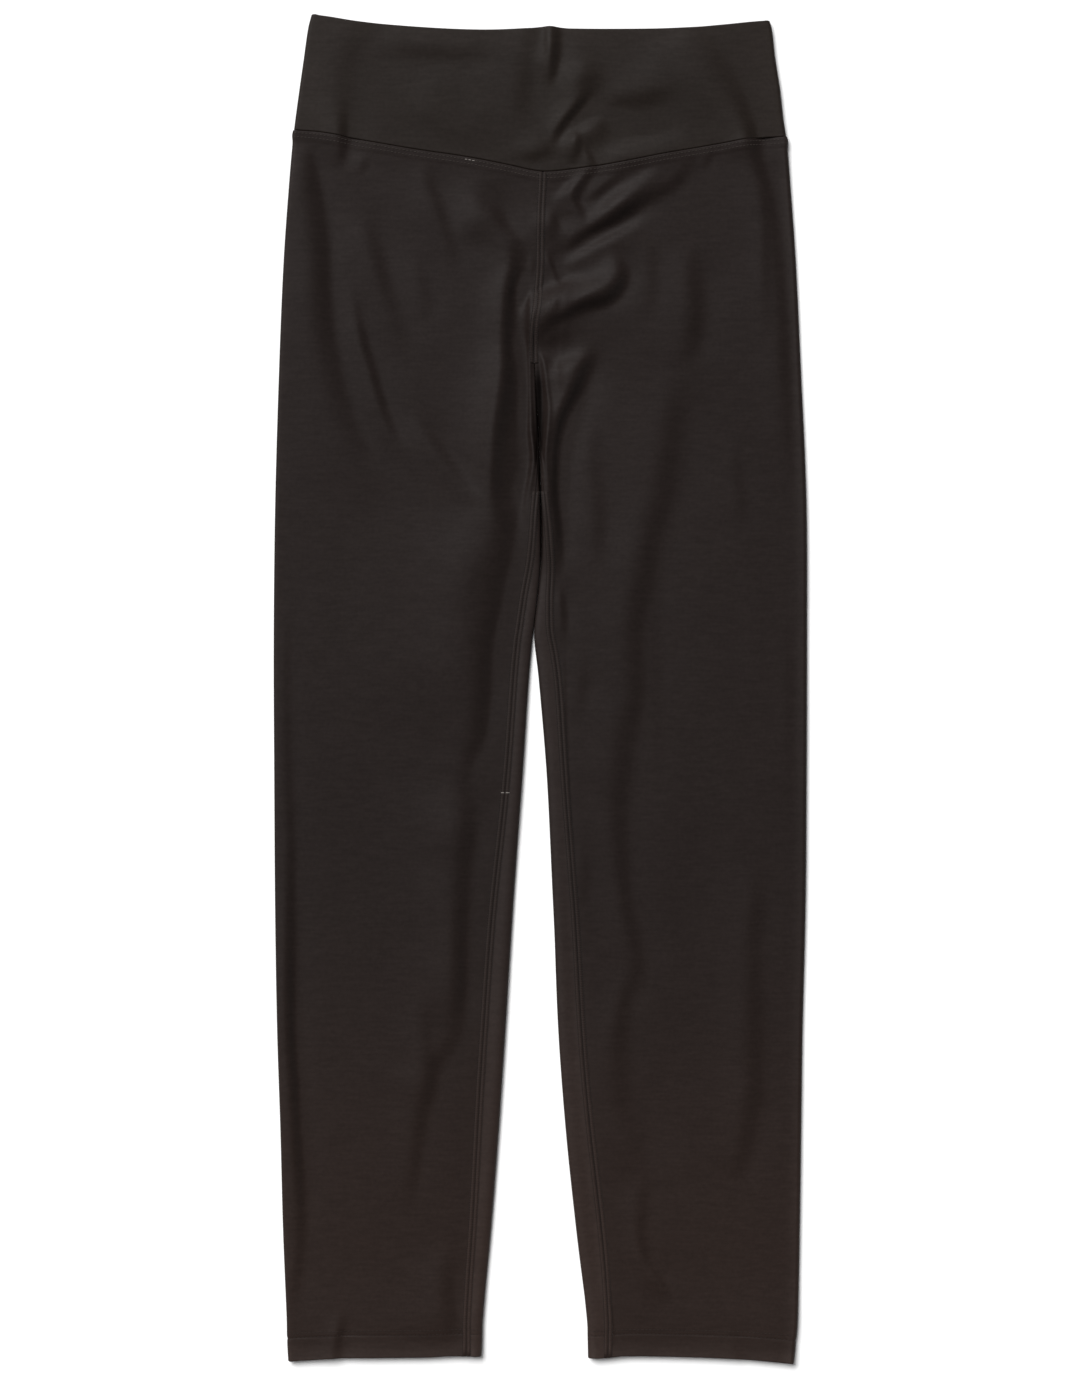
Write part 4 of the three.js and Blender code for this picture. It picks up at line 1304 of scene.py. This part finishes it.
class InnerFace:
    """The cloth beside a leg's inner fold, by level and by length past the fold's rim."""

    LENGTHS = np.arange(-7, 34, 0.4)

    def __init__(self, side):
        self.side = side
        self.rows = []
        for level in INSEAM_LEVELS:
            _, front, under = leg_row(side, float(level))
            self.rows.append((under + front).at(under.length() + self.LENGTHS).outer)

    def seam_surface(self, offset):
        """The line at an offset from the inseam, and its way out of the cloth."""
        lengths = self.side.inseam(INSEAM_LEVELS) + offset

        def places(shift):
            pairs = zip(lengths + shift, self.rows)
            return np.stack([at_lengths(length, self.LENGTHS, row) for length, row in pairs])

        across = places(0.5) - places(-0.5)
        down = np.gradient(places(0), axis=0)
        return places(0), unit(np.cross(down, across) * self.side.out)


def row_course(side, level, lift):
    """The course of a whole row round a leg, from its front seam edge to its back one."""
    row = leg_row(side, level)[0].outer
    outwards = np.cross(np.gradient(row, axis=0), [0, 1, 0]) * side.out
    return Course(row, outwards).raised(lift)


def round_stitches(name, levels, pitch, length, radius, material):
    """Rows of stitching round both legs at given levels, one piece for each leg."""
    made = []
    for side in SIDES:
        parts = []
        for k, level in enumerate(levels):
            ends = stitch_ends(row_course(side, level, STITCH_HEIGHT), pitch, length, ROW_SHIFT * k)
            parts.append(stitches(*ends, radius, STITCH_ARCH))
        made.append(sewn_piece(f"{name}_{side.name}", parts, material))
    return made


def pale_waist_stitches(material):
    """The paler stretch of the upper row of topstitching, right of the centre."""
    course = row_course(RIGHT, WAIST_STITCHES[0], PALE_HEIGHT)
    a, b, outwards = stitch_ends(course, WAIST_PITCH, WAIST_STITCH)
    low, high = PALE_STRETCH
    chosen = (a[:, 0] > low) & (a[:, 0] < high) & (outwards[:, 2] > 0)
    threads = stitches(a[chosen], b[chosen], outwards[chosen], PALE_RADIUS, PALE_ARCH)
    return sewn_piece("stitches_waist_pale", [threads], material)


def pale_inseam_stitch(face, material):
    """The two pale threads that cross the right inseam above the calf."""
    row = int(np.argmin(np.abs(INSEAM_LEVELS - TICK_LEVEL)))
    places, outwards = zip(*(face.seam_surface(offset) for offset in TICK_ENDS))
    outwards = np.array([every[row] for every in outwards])
    ends = np.array([every[row] for every in places]) + TICK_HEIGHT * outwards
    threads = stitches(ends[::2], ends[1::2], outwards[::2], TICK_RADIUS, TICK_ARCH)
    return sewn_piece("stitches_inseam_pale", [threads], material)


# Colours, each with the one it turns to down the legs, and where along y it turns, in metres
LEG_COLOURS = ((0.0090, 0.0054, 0.0045), (0.0144, 0.0082, 0.0063))
WAIST_COLOURS = 2 * ((0.0092, 0.0059, 0.0043),)
BAND_COLOURS = ((0.0120, 0.0076, 0.0064), (0.0195, 0.0115, 0.0090))
RIB_COLOURS = ((0.0175, 0.0120, 0.0100), (0.0250, 0.0150, 0.0120))
SUNK_COLOURS = ((0.0052, 0.0036, 0.0030), (0.0100, 0.0060, 0.0048))
SEWING_COLOURS = 2 * ((0.027, 0.021, 0.0175),)
HEM_COLOURS = 2 * ((0.0165, 0.0105, 0.0085),)
PALE_COLOURS = 2 * ((0.2, 0.18, 0.165),)
WARM_START = -0.1
WARM_END = -0.42

# Values between which nearly all of a noise lies
NOISE_LOW = 0.3
NOISE_HIGH = 0.7

# The knit: scales of its noises and how far they change its tone, its loops, and how it shines
STREAKS = (80, 480, 80)
STREAK_SPREAD = 0.08
STREAK_ROUGHNESS = 0.6
STREAK_RELIEF = 0.8
MOTTLE = (420, 420, 420)
MOTTLE_SPREAD = 0.07
CLOUDS = (9, 7, 9)
CLOUD_SPREAD = 0.04
CLOUD_DETAIL = 3.0
WALES = 520.0
WALE_BEND = 0.6
COURSES = 640.0
COURSE_BEND = 0.4
KNIT_BUMP = 0.35
KNIT_DEPTH = 0.00008
KNIT_ROUGHNESS = 0.6
ROUGHNESS_SPREAD = 0.03
KNIT_SPECULAR = 0.12
KNIT_SHEEN = 0.06
SHEEN_ROUGHNESS = 0.4
SHEEN_TINT = (0.5, 0.44, 0.4, 1)

# The threads
THREAD_NOISE = (500, 500, 500)
THREAD_SPREAD = 0.15
TWIST = 700.0
TWIST_BUMP = 0.4
TWIST_DEPTH = 0.00005
THREAD_ROUGHNESS = 0.6
THREAD_SPECULAR = 0.12
THREAD_SHEEN = 0.05

# The floor and the room, with each light's name, place that it shines from, strength and width
# in degrees
FLOOR_NOISE = (3, 3, 3)
FLOOR_TONE = 0.91
FLOOR_SPREAD = 0.01
FLOOR_ROUGHNESS = 0.8
FLOOR_HALF = 12
FLOOR_DEPTH = 0.0003
WORLD_STRENGTH = 0.2
LIGHTS = (("key", (-0.6, 0.8, 1.05), 4.8, 45), ("side", (2.4, -0.6, 1.0), 0.4, 30))

# The camera, in the photograph's pixels and in metres, and its lens in millimetres
PHOTO_HEIGHT = 1378
PIXEL = 0.705 * MM
CAMERA_X = -0.0002
LENS = 85
SENSOR = 36


class Nodes:
    """Shorthand for building a material's nodes. Its values are the nodes' outputs."""

    def __init__(self, name):
        self.material = bpy.data.materials.new(name)
        self.material.use_nodes = True
        self.tree = self.material.node_tree
        self.tree.nodes.clear()

    def add(self, kind, inputs=None, output=0, **settings):
        """Adds a node and returns one of its outputs."""
        node = self.tree.nodes.new(f"ShaderNode{kind}")
        for key, value in settings.items():
            setattr(node, key, value)
        for key, value in (inputs or {}).items():
            if isinstance(value, bpy.types.NodeSocket):
                self.tree.links.new(value, node.inputs[key])
            else:
                node.inputs[key].default_value = value
        return node.outputs[output]

    def multiply(self, a, b):
        return self.add("Math", {0: a, 1: b}, operation="MULTIPLY")

    def plus(self, a, b):
        return self.add("Math", {0: a, 1: b}, operation="ADD")

    def scaled(self, colour, factor):
        return self.add("VectorMath", {0: colour, "Scale": factor}, operation="SCALE")

    def stretched(self, scale):
        """Coordinates in metres, stretched by a scale."""
        coordinates = self.add("TexCoord", output="Object")
        return self.add("Mapping", {"Vector": coordinates, "Scale": scale})

    def noise(self, scale, detail=2.0, roughness=0.5):
        inputs = {"Vector": self.stretched(scale), "Scale": 1.0, "Detail": detail}
        return self.add("TexNoise", {**inputs, "Roughness": roughness})

    def wave(self, direction, stretch, scale, bend=0.0):
        inputs = {"Vector": self.stretched(stretch), "Scale": scale, "Distortion": bend, "Detail": 1.0}
        return self.add("TexWave", inputs, output="Fac", bands_direction=direction)

    def spread(self, noise, middle, spread):
        """Turns a noise into values that lie about a middle one."""
        inputs = {"Value": noise, "From Min": NOISE_LOW, "From Max": NOISE_HIGH}
        ends = {"To Min": middle - spread, "To Max": middle + spread}
        return self.add("MapRange", {**inputs, **ends})

    def graded(self, colours):
        """A colour that changes to another one down the legs."""
        coordinates = self.add("TexCoord", output="Object")
        height = self.add("SeparateXYZ", {"Vector": coordinates}, output="Y")
        inputs = {"Value": height, "From Min": WARM_START, "From Max": WARM_END}
        lower = self.add("MapRange", inputs, interpolation_type="SMOOTHSTEP")
        high_colour, low_colour = colours
        inputs = {0: lower, 6: (*high_colour, 1), 7: (*low_colour, 1)}
        return self.add("Mix", inputs, output=2, data_type="RGBA")

    def bump(self, height, strength, depth):
        return self.add("Bump", {"Height": height, "Strength": strength, "Distance": depth})

    def finish(self, inputs):
        """Ends the material in a shader with these inputs."""
        shader = self.add("BsdfPrincipled", inputs)
        end = self.tree.nodes.new("ShaderNodeOutputMaterial")
        self.tree.links.new(shader, end.inputs["Surface"])
        return self.material


def knit(name, colours):
    """Fine smooth jersey: level streaks, tiny loops in bump, and a hue that warms down the legs."""
    n = Nodes(name)
    streaks = n.noise(STREAKS, roughness=STREAK_ROUGHNESS)
    mottle = n.noise(MOTTLE)
    clouds = n.noise(CLOUDS, detail=CLOUD_DETAIL)
    fine = n.multiply(n.spread(streaks, 1, STREAK_SPREAD), n.spread(mottle, 1, MOTTLE_SPREAD))
    uneven = n.multiply(fine, n.spread(clouds, 1, CLOUD_SPREAD))
    # The stored paler values: a lighter strip and hem, painted sheen and painted shade, which scale
    # the cloth's colour, specular and sheen
    paler = n.add("Attribute", output="Fac", attribute_name="paler")
    light = n.multiply(uneven, n.plus(paler, 1.0))
    wales = n.wave("X", (1, 0, 1), WALES, WALE_BEND)
    courses = n.wave("Y", (0, 1, 0), COURSES, COURSE_BEND)
    relief = n.plus(n.multiply(wales, courses), n.multiply(streaks, STREAK_RELIEF))
    return n.finish({
        "Base Color": n.scaled(n.graded(colours), light),
        "Roughness": n.spread(clouds, KNIT_ROUGHNESS, ROUGHNESS_SPREAD),
        "Specular IOR Level": n.multiply(light, KNIT_SPECULAR),
        "Sheen Weight": n.multiply(light, KNIT_SHEEN),
        "Sheen Roughness": SHEEN_ROUGHNESS,
        "Sheen Tint": SHEEN_TINT,
        "Normal": n.bump(relief, KNIT_BUMP, KNIT_DEPTH),
    })


def thread(name, colours):
    """Sewing thread: slightly glossy, with a fine twist and an uneven tone."""
    n = Nodes(name)
    tone = n.spread(n.noise(THREAD_NOISE), 1, THREAD_SPREAD)
    twist = n.wave("DIAGONAL", (1, 1, 1), TWIST)
    return n.finish({
        "Base Color": n.scaled(n.graded(colours), tone),
        "Roughness": THREAD_ROUGHNESS,
        "Specular IOR Level": THREAD_SPECULAR,
        "Sheen Weight": THREAD_SHEEN,
        "Normal": n.bump(twist, TWIST_BUMP, TWIST_DEPTH),
    })


def floor_material():
    n = Nodes("floor_white")
    tone = n.spread(n.noise(FLOOR_NOISE), FLOOR_TONE, FLOOR_SPREAD)
    colour = n.add("CombineColor", {0: tone, 1: tone, 2: tone})
    return n.finish({"Base Color": colour, "Roughness": FLOOR_ROUGHNESS})


leg_knit = knit("leg_knit", LEG_COLOURS)
waist_knit = knit("waistband_knit", WAIST_COLOURS)
sewing = thread("sewing_thread", SEWING_COLOURS)
hem_thread = thread("hem_thread", HEM_COLOURS)
pale_thread = thread("pale_thread", PALE_COLOURS)
seam_materials = (
    thread("seam_cover", BAND_COLOURS),
    thread("rib_thread", RIB_COLOURS),
    thread("sunk_thread", SUNK_COLOURS),
)

legs = {side: leg_piece(side, leg_knit) for side in SIDES}
waist = waist_piece("cloth_waistband_front", True, waist_knit)
waist_back = waist_piece("cloth_waistband_back", False, waist_knit)

centre_seams = [
    *flat_seam("seam_centre_front", centre_front_surface, *seam_materials),
    *flat_seam("seam_centre_back", centre_back_surface, *seam_materials),
]
inner_faces = {side: InnerFace(side) for side in SIDES}
inseams = {
    side: flat_seam(f"seam_inseam_{side.name}", face.seam_surface, *seam_materials)
    for side, face in inner_faces.items()
}
waist_stitches = round_stitches(
    "stitches_waist", WAIST_STITCHES, WAIST_PITCH, WAIST_STITCH, WAIST_RADIUS, sewing
)
hem_stitches = round_stitches(
    "stitches_hem", HEM_STITCHES, HEM_PITCH, HEM_STITCH, HEM_RADIUS, hem_thread
)
pale_pieces = [pale_waist_stitches(pale_thread), pale_inseam_stitch(inner_faces[RIGHT], pale_thread)]

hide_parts("leg_right")
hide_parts("leg_left")
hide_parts("waistband_front")
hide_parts("waistband_back")

for side, waist_sewing, hem_sewing in zip(SIDES, waist_stitches, hem_stitches):
    sewn = [waist_sewing, hem_sewing, *inseams[side]]
    sewn += pale_pieces if side is RIGHT else centre_seams


def add_floor():
    mesh = bpy.data.meshes.new("floor")
    corners = [(x * FLOOR_HALF, y * FLOOR_HALF, 0) for x, y in ((-1, -1), (1, -1), (1, 1), (-1, 1))]
    mesh.from_pydata(corners, [], [(0, 1, 2, 3)])
    mesh.materials.append(floor_material())
    floor = bpy.data.objects.new("floor", mesh)
    floor.location.z = -FLOOR_DEPTH
    bpy.context.scene.collection.objects.link(floor)


def add_light(name, towards, strength, softness):
    """Distant soft light from a direction, given as a point that it shines from."""
    light = bpy.data.lights.new(name, "SUN")
    light.energy = strength
    light.angle = math.radians(softness)
    lamp = bpy.data.objects.new(name, light)
    x, y, z = towards
    lamp.rotation_euler = (math.atan2(math.hypot(x, y), z), 0, math.atan2(x, -y))
    lamp.location = towards
    bpy.context.scene.collection.objects.link(lamp)


def add_world():
    world = bpy.data.worlds.new("studio")
    world.use_nodes = True
    background = world.node_tree.nodes["Background"]
    background.inputs["Color"].default_value = (1, 1, 1, 1)
    background.inputs["Strength"].default_value = WORLD_STRENGTH
    bpy.context.scene.world = world


def add_camera():
    """Straight above the garment, with the photograph's frame."""
    camera = bpy.data.cameras.new("camera")
    camera.lens = LENS
    camera.sensor_width = SENSOR
    holder = bpy.data.objects.new("camera", camera)
    holder.location = (CAMERA_X, 0, PHOTO_HEIGHT * PIXEL * LENS / SENSOR)
    bpy.context.scene.collection.objects.link(holder)
    bpy.context.scene.camera = holder


add_floor()
add_world()
for light in LIGHTS:
    add_light(*light)
add_camera()
view = bpy.context.scene.view_settings
view.view_transform = "Standard"
view.look = "None"
view.exposure = 0
view.gamma = 1
